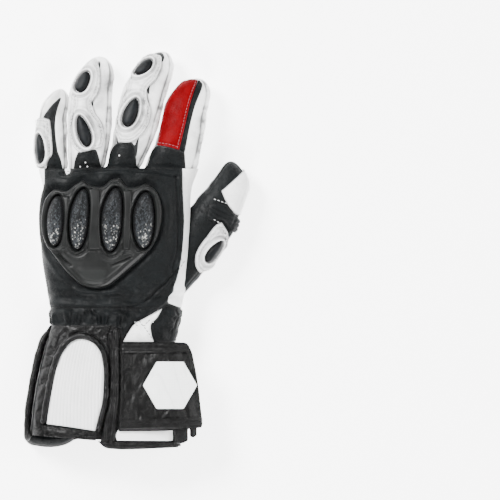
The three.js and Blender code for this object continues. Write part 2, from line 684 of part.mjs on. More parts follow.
const PADS = {
  little: table(PAD_COLUMNS, [["little_pad", -0.48, 0.257, 0.36, 0.5, 0, 0.3]]),
  ring: table(PAD_COLUMNS, [
    ["ring_upper_pad", -0.098, 0.771, 0.21, 0.29, -6, 0.1],
    ["ring_lower_pad", -0.064, 0.334, 0.28, 0.32, 15, 0.4],
  ]),
  middle: table(PAD_COLUMNS, [
    ["middle_upper_pad", 0.444, 0.862, 0.18, 0.31, -16, 0.1],
    ["middle_lower_pad", 0.161, 0.474, 0.25, 0.33, -8, 0.4],
  ]),
  thumb: table(PAD_COLUMNS, [["thumb_pad", 0.32, 0.18, 0.25, 0.31, -2, 0.4]]),
};
const SIDE_ROLL = table(["angle", "along"], [
  [172, -0.08], [171, -0.25], [171, -0.45], [171, -0.65], [171, -0.8], [173, -0.96],
]);

// Materials
const FINISH = {
  whiteLeather: { color: 0xe8e8e6, roughness: 0.55 },
  blackLeather: { color: 0x1b1f20, roughness: 0.5 },
  redLeather: { color: 0xc40018, roughness: 0.45 },
  mouldedGuard: { color: 0x17191a, roughness: 0.4 },
  wovenInsert: { color: 0x2c2c2e, roughness: 0.2, metalness: 0.2 },
  darkPad: { color: 0x272b2e, roughness: 0.7 },
  ribbedCloth: { color: 0xf2f2f2, roughness: 0.9 },
  loopPile: { color: 0xf4f4f2, roughness: 1 },
  reflective: { color: 0xf5f7f6, roughness: 0.35 },
};

const glove = new THREE.Group();

function add(name, solid, finish) {
  const mesh = solid.getMesh();
  const geometry = new THREE.BufferGeometry();
  geometry.setAttribute("position", new THREE.BufferAttribute(mesh.vertProperties, 3));
  geometry.setIndex(new THREE.BufferAttribute(mesh.triVerts, 1));
  const part = new THREE.Mesh(geometry, new THREE.MeshStandardMaterial(FINISH[finish]));
  part.name = name;
  glove.add(part);
}

const fingers = { little, ring, middle, index };

// Shells
const mouth = -CUFF_LENGTH;
const [cuffEnd] = endsOf(body);
const inside = skin(body, -WALL, cuffEnd, HAND_LENGTH - WALL);
const thumbHollow = skin(thumb, -WALL);

function handShell() {
  let shell = skin(body, 0).subtract(inside).subtract(thumbHollow);
  for (const form of Object.values(fingers)) shell = shell.subtract(skin(form, -WALL));
  return shell.intersect(beyond(GAP / 2, 1));
}

function cuffShell() {
  return skin(body, 0)
    .subtract(inside)
    .intersect(beyond(-GAP / 2, -1))
    .subtract(beyond(mouth, -1, -MOUTH_SLANT));
}

function fingerStall(form) {
  return skin(form, 0).subtract(skin(form, -WALL)).intersect(beyond(HAND_LENGTH + GAP, 1));
}

add("hand_shell", handShell(), "whiteLeather");
add("cuff_shell", cuffShell(), "blackLeather");
for (const [name, form] of Object.entries(fingers)) {
  add(`${name}_stall`, fingerStall(form), "whiteLeather");
}
add("thumb_stall", skin(thumb, 0).subtract(thumbHollow).subtract(skin(body, GAP)), "blackLeather");

// Hand panels
add("palm_panel", panel(body, GAP, LAYER, PALM, { side: PALM_SIDE }), "blackLeather");
add("back_panel", panel(body, GAP, LAYER, BACK, { side: ROUND_BACK_SIDE }), "blackLeather");
add("wrist_band", panel(body, GAP, LAYER, WRIST_BAND, { side: ROUND_BACK_SIDE }), "blackLeather");
add("wrist_gusset", panel(body, GAP, LAYER, WRIST_GUSSET), "whiteLeather");
add("wrist_tab", panel(body, GAP, LAYER, WRIST_TAB, { side: ROUND_BACK_SIDE }), "blackLeather");

// Knuckle guard: a moulded frame with four windows, each filled by a domed insert
const guardLow = LAYER + GAP;
const guardFace = guardLow + GUARD_THICKNESS;
const inserts = INSERTS.map(({ name, across, along, length, width, tilt }) => ({
  name,
  ...domed(body, guardLow, {
    across,
    along,
    length: length * HAND_LENGTH,
    width: width * PALM_WIDTH,
    height: INSERT_HEIGHT,
    tilt,
    pointed: 0,
  }),
}));

function knuckleGuard() {
  let guard = panel(body, guardLow, guardFace, GUARD, { steps: 32 });
  for (const outline of GUARD_RIBS) {
    guard = guard.add(panel(body, guardLow + GAP, guardFace + GUARD_RIB, outline));
  }
  for (const { window } of inserts) guard = guard.subtract(window);
  return guard;
}

add("knuckle_guard", knuckleGuard(), "mouldedGuard");
for (const { name, piece } of inserts) add(`${name}_knuckle_insert`, piece, "wovenInsert");

// Finger panels
function knuckleTab(form, outline, vents) {
  let tab = panel(form, GAP, LAYER, outline);
  for (const [x, y] of planOf(form, vents)) {
    tab = tab.subtract(column(polygon(x, y, VENT_RADIUS, 6)));
  }
  return tab;
}

for (const [name, form] of Object.entries(fingers)) {
  add(`${name}_knuckle_tab`, knuckleTab(form, KNUCKLE_TABS[name], VENTS[name]), "blackLeather");
}

// Foam-backed armour whose windows hold hard pads
function armour(name, form, low, outline, padRows, options) {
  let piece = panel(form, low, low + PADDED, outline, options);
  for (const { name: pad, across, along, length, width, tilt, pointed } of padRows) {
    const seated = domed(form, low, {
      across,
      along,
      length: form.span(length),
      width: width * form.width,
      height: PAD_HEIGHT,
      tilt,
      pointed,
    });
    piece = piece.subtract(seated.window);
    add(pad, seated.piece, "darkPad");
  }
  add(name, piece, "whiteLeather");
}

const round = (tab) => ({ steps: 20, clearOf: [tab] });
armour("ring_armour", ring, GAP, RING_ARMOUR, PADS.ring, round(KNUCKLE_TABS.ring));
armour("middle_armour", middle, GAP, MIDDLE_ARMOUR, PADS.middle, round(KNUCKLE_TABS.middle));
armour("little_armour", little, GAP, LITTLE_ARMOUR, PADS.little, {
  clearOf: [LITTLE_BACK, KNUCKLE_TABS.little],
});
armour("thumb_armour", thumb, GAP, THUMB_ARMOUR, PADS.thumb, { steps: 20, clearOf: [THUMB_STRAP] });
add("little_back", panel(little, GAP, LAYER, LITTLE_BACK), "blackLeather");
add("index_panel", panel(index, GAP, LAYER, INDEX_PANEL), "redLeather");
add("index_edge_strip", panel(index, GAP, LAYER, INDEX_STRIP), "blackLeather");
add("thumb_tip_panel", panel(thumb, GAP, LAYER, THUMB_TIP, { clearOf: [THUMB_STRAP] }), "whiteLeather");
add("thumb_strap", panel(thumb, GAP, GAP + PADDED, THUMB_STRAP), "blackLeather");

// Cuff panels. The piping lies in a groove between the front panel and the ribbed cloth.
const archEdge = smoothed(planOf(body, ARCH), 22);
const pipingSeat = PIPING_RADIUS + GAP;

function cuffFront() {
  const edge = outset(archEdge, 2 * pipingSeat, false);
  const below = (point) => [point[0], 2 * mouth];
  const opening = column([below(edge[0]), ...edge, below(edge[edge.length - 1])]);
  return panel(body, GAP, LAYER, CUFF_FRONT, { side: CUFF_FRONT_SIDE }).subtract(opening);
}

function ribbedCloth() {
  return sheet(body, GAP, GAP + CLOTH).intersect(column(archEdge));
}

function archPiping() {
  const line = outset(archEdge, pipingSeat, false);
  const path = line.map(([x, y]) => ({ angle: angleAt(body, y, x), along: y / CUFF_LENGTH }));
  return roll(body, PIPING_RADIUS, GAP, path, 22);
}

function seamBand() {
  let band = panel(body, GAP, LAYER, SEAM_BAND);
  for (const outline of SEAM_ROLLS) {
    band = band.add(panel(body, LAYER - GAP, LAYER + STRAP_RIB, outline));
  }
  return band;
}

add("cuff_front", cuffFront(), "blackLeather");
add("cuff_rib_panel", ribbedCloth(), "ribbedCloth");
add("arch_piping", archPiping(), "blackLeather");
add("cuff_side_roll", roll(body, SIDE_ROLL_RADIUS, 2 * GAP, SIDE_ROLL, 6), "blackLeather");
add("cuff_seam_band", seamBand(), "blackLeather");
add("cuff_hem", panel(body, GAP, GAP + PADDED, HEM), "blackLeather");
add("cuff_palm_panel", panel(body, GAP, LAYER, CUFF_PALM, { side: CUFF_PALM_SIDE }), "blackLeather");
add("mouth_binding", panel(body, GAP, GAP + BINDING, MOUTH_BINDING), "blackLeather");
add("loop_patch", panel(body, GAP, GAP + LOOP_PILE, LOOP_PATCH), "loopPile");

// Closure flap over the loop patch
const flapLow = GAP + LOOP_PILE + 2 * GAP;
const flapTop = flapLow + LEATHER;

function emblem() {
  const [centre] = planOf(body, [EMBLEM_PLACE]);
  const corners = polygon(...centre, EMBLEM_WIDTH / 2, 6);
  const layer = sheet(strapSheet, flapTop + GAP, flapTop + GAP + EMBLEM_THICKNESS);
  return layer.intersect(column(corners));
}

add("closure_flap", panel(strapSheet, flapLow, flapTop, FLAP), "blackLeather");
add("flap_top_binding",
  panel(strapSheet, flapTop + GAP, flapTop + GAP + BINDING, FLAP_TOP), "blackLeather");
add("flap_bottom_binding",
  panel(strapSheet, flapTop + GAP, flapTop + GAP + BINDING, FLAP_BOTTOM), "blackLeather");
add("flap_emblem", emblem(), "reflective");
for (const [name, outline] of Object.entries(HOOK_TABS)) {
  add(`hook_tab_${name}`, panel(strapSheet, GAP, flapLow - GAP, outline), "blackLeather");
}

glove.updateMatrixWorld(true);
const bounds = new THREE.Box3().setFromObject(glove);
const foot = bounds.getCenter(new THREE.Vector3());
glove.position.set(-foot.x, -foot.y, -bounds.min.z);

export default glove;
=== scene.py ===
"""Looks of a left-hand motorcycle gauntlet that lies palm down, built around its packed frame."""

import math

import bpy
import numpy as np
from bpy.props import FloatProperty, FloatVectorProperty, PointerProperty
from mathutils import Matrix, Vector
from mathutils.geometry import delaunay_2d_cdt


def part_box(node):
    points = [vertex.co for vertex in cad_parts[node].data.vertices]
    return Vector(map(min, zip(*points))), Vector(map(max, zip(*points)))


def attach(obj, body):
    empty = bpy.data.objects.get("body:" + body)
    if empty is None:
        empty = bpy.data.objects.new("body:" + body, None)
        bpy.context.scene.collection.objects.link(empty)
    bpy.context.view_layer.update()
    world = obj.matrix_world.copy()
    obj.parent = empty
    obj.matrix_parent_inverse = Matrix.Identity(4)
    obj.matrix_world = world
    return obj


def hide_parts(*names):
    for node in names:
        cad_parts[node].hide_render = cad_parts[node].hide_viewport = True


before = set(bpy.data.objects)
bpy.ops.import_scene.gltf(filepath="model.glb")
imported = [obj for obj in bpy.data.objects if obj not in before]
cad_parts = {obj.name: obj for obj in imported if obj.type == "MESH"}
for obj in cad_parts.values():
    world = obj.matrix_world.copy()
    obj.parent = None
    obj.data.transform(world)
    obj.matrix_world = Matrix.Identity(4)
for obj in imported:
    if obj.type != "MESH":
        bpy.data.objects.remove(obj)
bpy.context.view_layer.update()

bl_info = {
    "name": "Motorcycle gauntlet",
    "version": (1, 0, 0),
    "blender": (4, 5, 0),
    "location": "3D View > Sidebar > Gauntlet",
    "description": "Builds the leather, moulded, cloth and stitched pieces of a left-hand gauntlet",
    "category": "Add Mesh",
}

# Sizes of the glove, in millimetres, as its frame has them
PALM_WIDTH = 111
HAND_LENGTH = 113
HAND_HEIGHT = 38
CUFF_LENGTH = 87
CUFF_HEIGHT = 38
PALM_FLAT = 4
MOUTH_SLANT = 3.5  # degrees
FINGER_THICKNESS = 25
THUMB_THICKNESS = 26
WALL = 2
LEATHER = 1.2
PADDED = 2.2
GUARD_THICKNESS = 3.6
GUARD_RIB = 2
INSERT_HEIGHT = 6.4
PAD_HEIGHT = 3.8
CLOTH = 0.9
LOOP_PILE = 1.2
STRAP_RIB = 1.6
PIPING_RADIUS = 2
SIDE_ROLL_RADIUS = 2.6
BINDING = 1.1
EMBLEM_THICKNESS = 0.7
EMBLEM_WIDTH = 40
GAP = 0.3
LAYER = GAP + LEATHER
FLOOR_CLEAR = LAYER  # the shells' height above the floor
SEED_SEEN_AT = 3.0  # height of a pad's outline over its form
BACK_GROOVE_END = 100  # how far along the hand the back panel's stitch groove goes
BACK_STITCH_END = 104

MM = 0.001
# Where the middle of the wrist seam lies in the frame, in metres
WRIST = Vector((
    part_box("cuff_shell")[0].x + 0.53 * PALM_WIDTH * MM,
    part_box("hand_shell")[0].y - GAP / 2 * MM,
    0,
))
# The photograph: millimetres to a pixel, pixels to a side, and the wrist seam's middle pixel
PHOTO_PIXEL = 0.74
PHOTO_SIDE = 500
PHOTO_WRIST = (112, 322)


def table(names, rows):
    """Columns of a table by name, as arrays."""
    return dict(zip(names.split(), np.array(rows, float).T))


BODY_SECTIONS = table("at left right height", [
    (-1.14, -0.53, 0.462, 1.0), (-0.81, -0.53, 0.453, 0.99), (-0.5, -0.497, 0.42, 0.94),
    (-0.2, -0.44, 0.41, 0.89), (0, -0.388, 0.44, 0.86), (0.2, -0.415, 0.487, 0.91),
    (0.42, -0.45, 0.52, 0.98), (0.7, -0.465, 0.522, 1.02), (0.87, -0.457, 0.532, 0.98),
    (1, -0.487, 0.578, 0.93),
])
STRAP_RIGHT = 0.63
ROUND_FROM = 0.7  # share of a finger's length where its tip starts
# Length, width, thickness, root, heading in degrees, and sections: place along the finger,
# centre, width, thickness, and height of the middle as a share of the hand's
FINGERS = {
    "little": (59, 22, FINGER_THICKNESS, (-0.386, 1), 90, [
        (-0.2, 0, 0.9, 0.88, 0.45), (0, 0, 0.92, 0.9, 0.45), (0.25, -0.03, 0.98, 0.92, 0.47),
        (0.47, -0.035, 0.96, 0.9, 0.44), (0.7, -0.02, 0.93, 0.88, 0.36), (1, 0.22, 0.93, 0.86, 0.3),
    ]),
    "ring": (83, 32.5, FINGER_THICKNESS, (-0.168, 1), 90, [
        (-0.15, -0.03, 0.8, 1.04, 0.48), (0, 0, 0.81, 1.08, 0.5), (0.22, 0.055, 0.94, 1.06, 0.53),
        (0.47, 0.078, 1.0, 1.01, 0.49), (0.7, 0.11, 0.965, 0.96, 0.38),
        (0.85, 0.22, 0.95, 0.94, 0.33), (1, 0.31, 0.93, 0.92, 0.3),
    ]),
    "middle": (87, 33.5, FINGER_THICKNESS, (0.077, 1), 90, [
        (-0.15, -0.06, 0.72, 1.04, 0.48), (0, 0, 0.75, 1.08, 0.5), (0.22, 0.195, 0.88, 1.06, 0.53),
        (0.47, 0.345, 0.98, 1.01, 0.49), (0.7, 0.51, 0.98, 0.96, 0.38),
        (0.85, 0.68, 0.98, 0.94, 0.33), (1, 0.84, 0.98, 0.92, 0.3),
    ]),
    "index": (67, 35.5, FINGER_THICKNESS, (0.391, 1), 90, [
        (-0.2, -0.05, 1.1, 0.98, 0.46), (0, 0, 1.1, 1.0, 0.46), (0.22, 0.14, 1.015, 1.04, 0.49),
        (0.45, 0.255, 0.94, 1.02, 0.48), (0.7, 0.337, 0.91, 0.97, 0.38), (1, 0.54, 0.88, 0.92, 0.31),
    ]),
    "thumb": (80, 36, THUMB_THICKNESS, (0.533, 0.392), 65, [
        (-0.29, -0.14, 0.56, 0.9, 0.34), (-0.05, -0.085, 0.76, 0.97, 0.33),
        (0.2, -0.045, 0.94, 1.0, 0.335), (0.42, 0, 1.0, 1.0, 0.345), (0.6, 0.018, 0.89, 0.96, 0.34),
        (0.7, 0.04, 0.77, 0.92, 0.335), (0.88, 0.036, 0.77, 0.9, 0.32), (1, -0.08, 0.77, 0.88, 0.3),
    ]),
}


def smoothstep(x, low=0.0, high=1.0):
    t = np.clip((x - low) / (high - low), 0, 1)
    return t * t * (3 - 2 * t)


def bell(x, width):
    return np.exp(-((x / width) ** 2))


def run_along(x, y):
    """Distance along a line at each of its points."""
    return np.concatenate([[0], np.cumsum(np.hypot(np.diff(x), np.diff(y)))])


def noise(points, size, seed):
    """Smooth noise from -1 to 1, with bumps of the given size."""
    points = np.asarray(points, float) / size
    cell = np.floor(points).astype(np.int64)
    share = points - cell
    share = share * share * (3 - 2 * share)
    primes = np.array([73856093, 19349663, 83492791])[: points.shape[1]]
    total = np.zeros(len(points))
    for corner in np.ndindex(*(2,) * points.shape[1]):
        key = ((cell + corner) * primes).sum(1) + seed * 2654435761
        key = (key ^ (key >> 15)) * 2246822519 & 0xFFFFFFFF
        key = (key ^ (key >> 13)) * 3266489917 & 0xFFFFFFFF
        value = ((key ^ (key >> 16)) & 0xFFFF) / 32767.5 - 1
        weight = np.prod(np.where(corner, share, 1 - share), axis=1)
        total += value * weight
    return total


def rough(points, size, seed):
    """Noise with finer and finer layers."""
    total = sum(noise(points, size / 2**i, seed + i) / 2**i for i in range(3))
    return total / 1.6


def creases(points, size, width, seed):
    """Thin lines from 0 to 1 that wander over the points."""
    return bell(noise(points, size, seed) + 0.35 * noise(points, size / 3, seed + 7), width)


class Form:
    """A tapering tube that shells, panels and pads follow."""

    def __init__(self, y, centre, half, middle, rise, width, power, **other):
        self.y = np.array(y, float)
        self.rows = dict(centre=centre, half=half, middle=middle, rise=rise)
        self.width, self.power = width, power
        self.origin = other.get("origin", (0, 0))
        self.heading = math.radians(other.get("heading", 90))
        self.length = other.get("length")
        self.round_from = ROUND_FROM * self.length if self.length else None
        self.relief = other.get("relief")
        self.spans = other.get("spans", (self.length, self.length))
        angles = np.linspace(-90, 270, 1441)
        across, up = self._round(np.radians(angles))
        x, z = across * np.mean(half), up * np.mean(rise)
        length = run_along(x, z)
        self._angles, self._girth = angles, np.interp(90, angles, length) - length

    def _round(self, turn):
        c, s = np.cos(turn), np.sin(turn)
        grow = (np.abs(c) ** self.power + np.abs(s) ** self.power) ** (-1 / self.power)
        return grow * c, grow * s

    def span(self, share):
        share = np.asarray(share, float)
        return share * np.where(share < 0, self.spans[0], self.spans[1])

    def girth_at(self, angle):
        return np.interp(angle, self._angles, self._girth)

    def angle_on(self, girth):
        return np.interp(-np.asarray(girth), -self._girth, self._angles)

    def reach_at(self, y):
        """Distance along the form, counted round its tip."""
        if not self.length:
            return np.asarray(y, float)
        reach = self.length - self.round_from
        t = np.clip((np.asarray(y, float) - self.round_from) / reach, 0, 1)
        return np.minimum(y, self.round_from) + reach * np.arcsin(t)

    def y_on(self, v):
        if not self.length:
            return np.asarray(v, float)
        reach = self.length - self.round_from
        t = np.clip((np.asarray(v, float) - self.round_from) / reach, 0, math.pi / 2)
        return np.minimum(v, self.round_from) + reach * np.sin(t)

    def section(self, y):
        y = np.asarray(y, float)
        last = len(self.y) - 1
        i = np.searchsorted(self.y[1:last], y, side="left")
        before, after = np.maximum(i - 1, 0), np.minimum(i + 2, last)
        step = self.y[i + 1] - self.y[i]
        t = np.clip((y - self.y[i]) / step, 0, 1)
        found, slope = {}, {}
        for key, row in self.rows.items():
            a, b = row[i], row[i + 1]
            start = step * (b - row[before]) / (self.y[i + 1] - self.y[before])
            end = step * (row[after] - a) / (self.y[after] - self.y[i])
            bend = 2 * (a - b) + start + end
            lean = 3 * (b - a) - 2 * start - end
            found[key] = ((bend * t + lean) * t + start) * t + a
            slope[key] = ((3 * bend * t + 2 * lean) * t + start) / step
        return found, slope

    def tip(self, y):
        if not self.length:
            return np.ones_like(y), np.zeros_like(y)
        reach = self.length - self.round_from
        t = np.clip((y - self.round_from) / reach, 0, 0.9997)
        keep = np.sqrt(1 - t * t)
        return keep, np.where(t > 0, -t / (reach * keep), 0)

    def place(self, x, y, z):
        s, c = math.sin(self.heading), math.cos(self.heading)
        return np.stack([self.origin[0] + x * s + y * c, self.origin[1] - x * c + y * s, z], -1)

    def surface(self, y, angle, offset):
        """Points of the skin, moved out along its normal."""
        y, angle = np.asarray(y, float), np.asarray(angle, float)
        found, slope = self.section(y)
        keep, fall = self.tip(y)
        if self.relief:
            offset = offset + self.relief(self, y, angle)
        across, up = self._round(np.radians(angle))
        half, rise = found["half"] * keep, found["rise"] * keep
        x, z = found["centre"] + half * across, found["middle"] + rise * up
        power = self.power - 1
        sideways = np.sign(across) * np.abs(across) ** power / half
        upward = np.sign(up) * np.abs(up) ** power / rise
        half_slope = slope["half"] * keep + found["half"] * fall
        rise_slope = slope["rise"] * keep + found["rise"] * fall
        forward = -sideways * (slope["centre"] + across * half_slope)
        forward -= upward * (slope["middle"] + up * rise_slope)
        size = np.sqrt(sideways**2 + forward**2 + upward**2)
        moved_z = np.maximum(z + upward / size * offset, FLOOR_CLEAR - offset)
        flat = z < FLOOR_CLEAR
        x = np.where(flat, x, x + sideways / size * offset)
        y = np.where(flat, y, y + forward / size * offset)
        return self.place(x, y, np.where(flat, FLOOR_CLEAR - offset, moved_z))

    def angle_at(self, y, x, height=0.0):
        """Angle on the back where something at a height is seen, and whether it is past the edge."""
        found, _ = self.section(y)
        aim = np.asarray(x, float)
        for _ in range(5 if height else 1):
            share = (aim - found["centre"]) / (found["half"] * self.tip(y)[0])
            u = np.clip(np.abs(share), 1e-6, 1)
            rise = np.maximum(u**-self.power - 1, 0) ** (1 / self.power)
            angle = np.degrees(np.arctan2(rise, np.sign(share)))
            if height:
                aim = aim + 0.8 * (x - self.across(self.surface(y, angle, height)))
        return angle, np.abs(share) > 1

    def across(self, points):
        """How far points lie across the form's own line."""
        s, c = math.sin(self.heading), math.cos(self.heading)
        return (points[..., 0] - self.origin[0]) * s - (points[..., 1] - self.origin[1]) * c


def skin_points(form, y, angle):
    """Girth and reach of points on a form, one point to a row."""
    return np.stack([form.girth_at(angle), y], -1).reshape(-1, 2)


def body_relief(form, y, angle):
    """Soft lumps, wrist folds and cuff wrinkles of the leather, in millimetres."""
    back = smoothstep(np.sin(np.radians(angle)), -0.1, 0.5)
    flat = skin_points(form, y, angle)
    wander = noise(flat * (1, 0.6), 22, 3).reshape(y.shape)
    folds = np.sin((y + 3.2 * wander) * 2 * math.pi / 10.5) * bell(y - 16, 11)
    lumps = rough(flat, 26, 5).reshape(y.shape)
    cuff = rough(flat, 8, 9).reshape(y.shape) * smoothstep(-y, 2, 14)
    return back * (1.0 * folds + 0.6 * lumps + 0.45 * cuff)


def strap_relief(form, y, angle):
    """Long soft creases that the closure strap has around its patch."""
    flat = skin_points(form, y, angle)
    return 0.8 * rough(flat * (1, 0.45), 15, 21).reshape(y.shape)


def finger_relief(form, y, angle):
    """Creases across a finger's joints, and the lumps between them."""
    points = skin_points(form, y, angle)
    lumps = rough(points, 17, 31 + int(form.width)).reshape(y.shape)
    sides = 1 - bell(np.sin(np.radians(angle)) - 1, 0.45)
    puckers = noise(points * (0.35, 1), 4.5, 12).reshape(y.shape) * sides
    wander = 3.5 * noise(points * (0.4, 1), 12, 13).reshape(y.shape)
    seam = bell(np.asarray(angle) - 40 - wander, 4) + 0.8 * bell(np.asarray(angle) - 146 - wander, 4)
    pull = np.abs(noise(points * (0.3, 1), 3.2, 14).reshape(y.shape)) * bell(
        np.asarray(angle) - 28 - wander, 13)
    return 0.5 * lumps + 0.45 * puckers - 0.55 * seam - 0.5 * pull


def body_form(right=None, relief=body_relief):
    rows = BODY_SECTIONS
    keep = rows["at"] <= (0 if right else 1)
    at, left = rows["at"][keep], rows["left"][keep]
    far = np.full(len(at), right) if right else rows["right"][keep]
    full = rows["height"][keep] * np.where(at < 0, CUFF_HEIGHT, HAND_HEIGHT) + PALM_FLAT
    return Form(
        at * np.where(at < 0, CUFF_LENGTH, HAND_LENGTH), (left + far) / 2 * PALM_WIDTH,
        (far - left) / 2 * PALM_WIDTH, FLOOR_CLEAR - PALM_FLAT + full / 2, full / 2,
        PALM_WIDTH, 3, spans=(CUFF_LENGTH, HAND_LENGTH), relief=relief)


def finger_form(length, width, thickness, root, heading, rows):
    rows = table("at centre width thick rise", rows)
    return Form(
        rows["at"] * length, rows["centre"] * width, rows["width"] * width / 2,
        FLOOR_CLEAR + rows["rise"] * HAND_HEIGHT, rows["thick"] * thickness / 2, width, 2.4,
        origin=(root[0] * PALM_WIDTH, root[1] * HAND_LENGTH), heading=heading, length=length,
        relief=finger_relief)


body = body_form()
strap = body_form(STRAP_RIGHT, strap_relief)
little, ring, middle, index, thumb = (finger_form(*FINGERS[name]) for name in FINGERS)
fingers = {"little": little, "ring": ring, "middle": middle, "index": index}

# Which part of a form a piece covers, in degrees from the thumb side over the back
BACK_SIDE = (0, 180)
ROUND_BACK_SIDE = (-14, 194)
PALM_SIDE = (216, 324)
CUFF_FRONT_SIDE = (0, 161)
CUFF_PALM_SIDE = (184, 340)

# Outlines: shares of a form's width from its own line, and of its length
BACK = [
    (-0.44, 1.003), (-0.45, 0.9), (-0.47, 0.82), (-0.52, 0.75), (-0.54, 0.57), (-0.53, 0.39),
    (-0.5, 0.2), (-0.47, 0.088), (-0.11, 0.082), (0.25, 0.085), (0.325, 0.105), (0.375, 0.155),
    (0.435, 0.295), (0.47, 0.46), (0.48, 0.62), (0.475, 0.8), (0.465, 1.003),
    (0.225, 1.003), (-0.235, 1.003), (-0.262, 0.975), (-0.28, 0.955), (-0.296, 0.95),
    (-0.31, 0.958), (-0.325, 1.003),
]
WRIST_BAND = [
    (-0.5, 0.1), (-0.11, 0.094), (0.25, 0.097), (0.32, 0.1), (0.28, 0.069), (0.21, 0.033),
    (0.143, -0.008), (0.1, -0.089), (0.07, -0.16), (0.066, -0.06), (0.01, -0.035), (-0.46, -0.035),
]
WRIST_GUSSET = [
    (0.338, 0.089), (0.287, 0.062), (0.22, 0.027), (0.15, -0.019), (0.108, -0.097), (0.077, -0.166),
    (0.283, -0.166), (0.264, -0.085), (0.264, -0.013), (0.297, 0.022),
]
WRIST_TAB = [
    (0.364, 0.116), (0.5, 0.076), (0.49, -0.005), (0.46, -0.168), (0.29, -0.168),
    (0.272, -0.086), (0.272, -0.017), (0.305, 0.02), (0.345, 0.09),
]
GUARD = [
    (-0.467, 0.72), (-0.44, 0.81), (-0.38, 0.865), (-0.3, 0.855), (-0.24, 0.895), (-0.19, 0.925),
    (-0.135, 0.89), (-0.05, 0.887), (0, 0.928), (0.055, 0.94), (0.11, 0.88), (0.18, 0.884),
    (0.227, 0.902), (0.29, 0.863), (0.333, 0.775), (0.337, 0.667), (0.3, 0.542), (0.233, 0.445),
    (0.127, 0.353), (0.04, 0.28), (-0.027, 0.235), (-0.11, 0.222), (-0.193, 0.242), (-0.267, 0.3),
    (-0.36, 0.4), (-0.433, 0.497), (-0.47, 0.6),
]
GUARD_RIBS = [
    [(-0.325, 0.81), (-0.28, 0.81), (-0.295, 0.49), (-0.33, 0.5)],
    [(-0.145, 0.86), (-0.08, 0.86), (-0.07, 0.48), (-0.15, 0.48)],
    [(0.08, 0.85), (0.135, 0.85), (0.12, 0.48), (0.08, 0.48)],
]
GUARD_CHIN = [(-0.215, 0.347), (-0.03, 0.347), (-0.055, 0.255), (-0.185, 0.258)]
GUARD_BROW = [
    (-0.44, 0.48), (-0.387, 0.472), (-0.229, 0.443), (-0.199, 0.461), (-0.069, 0.461),
    (-0.026, 0.433), (0.177, 0.461), (0.28, 0.47),
]
GUARD_SLITS = [
    [(-0.359, 0.447), (-0.272, 0.373)],
    [(0.003, 0.373), (0.133, 0.426)],
]
# Place across and along, length, width and tilt in degrees
INSERTS = {
    "little": (-0.37, 0.66, 0.33, 0.11, -4), "ring": (-0.213, 0.67, 0.4, 0.125, -6),
    "middle": (0.004, 0.668, 0.42, 0.14, -5), "index": (0.215, 0.663, 0.37, 0.14, -2),
}
CUFF_FRONT = [
    (-0.46, -0.025), (-0.007, -0.025), (-0.03, -0.11), (-0.018, -0.237), (-0.018, -0.534),
    (-0.03, -0.729), (-0.075, -0.831), (-0.09, -0.9), (-0.09, -0.94), (-0.48, -0.91),
    (-0.524, -0.895), (-0.517, -0.75), (-0.5, -0.6), (-0.47, -0.39), (-0.44, -0.23), (-0.42, -0.12),
]
ARCH = [
    (-0.431, -0.861), (-0.421, -0.763), (-0.396, -0.576), (-0.363, -0.381), (-0.323, -0.254),
    (-0.278, -0.18), (-0.213, -0.143), (-0.137, -0.165), (-0.083, -0.23), (-0.057, -0.345),
    (-0.052, -0.531), (-0.063, -0.695), (-0.087, -0.808), (-0.108, -0.919),
]
SEAM_BAND = [
    (0.005, -0.023), (0.052, -0.076), (0.048, -0.195), (0.048, -0.661), (0.033, -0.915),
    (0.02, -1.01), (-0.03, -1.045), (-0.075, -1.02), (-0.062, -0.95), (-0.055, -0.839),
    (-0.02, -0.737), (-0.005, -0.534), (-0.005, -0.237), (-0.018, -0.119),
]
SEAM_ROLL_LINES = [
    [(-0.005, -0.1), (0.009, -0.237), (0.009, -0.534), (-0.006, -0.737), (-0.032, -0.86),
     (-0.042, -1.0)],
    [(0.033, -0.08), (0.036, -0.3), (0.035, -0.6), (0.021, -0.8), (0.0, -1.0)],
]
HEM = [(-0.445, -0.872), (-0.1, -0.931), (-0.1, -1), (-0.455, -0.965)]
PALM_REACH = (0.01, 0.985)
CUFF_PALM = [
    (-0.65, -0.025), (-0.65, -0.9), (-0.56, -0.95), (-0.5, -0.99), (-0.38, -1.01),
    (-0.3, -0.98), (-0.25, -0.96), (-0.1, -0.96), (0.1, -1.04), (0.44, -1.055), (0.6, -1.03),
    (0.6, -0.025),
]
MOUTH_BINDING = [
    (-0.09, -1.005), (-0.047, -1.057), (0.04, -1.075), (0.45, -1.06), (0.45, -1.015),
    (0.04, -1.015),
]
LOOP_PATCH = [
    (0.036, -0.935), (0.031, -0.968), (0.038, -1.0), (0.41, -1.004), (0.41, -0.32),
    (0.08, -0.32), (0.066, -0.87),
]
FLAP = [
    (0.067, -0.173), (0.453, -0.17), (0.5, -0.178), (0.53, -0.237), (0.553, -0.353),
    (0.578, -0.531), (0.595, -0.71), (0.608, -0.864), (0.602, -0.892), (0.413, -0.915),
    (0.047, -0.922), (0.062, -0.703),
]
FLAP_TOP = [
    (0.07, -0.178), (0.453, -0.175), (0.493, -0.183), (0.522, -0.255), (0.07, -0.263),
]
FLAP_BOTTOM = [
    (0.057, -0.835), (0.602, -0.8), (0.604, -0.86), (0.597, -0.887), (0.413, -0.909),
    (0.052, -0.915),
]
EMBLEM_PLACE = (0.39, -0.535)
HOOK_TABS = {
    "near": [(0.42, -0.88), (0.511, -0.87), (0.511, -1), (0.48, -1.022), (0.427, -1.017)],
    "far": [(0.525, -0.87), (0.571, -0.86), (0.571, -0.958), (0.547, -0.977), (0.527, -0.966)],
}
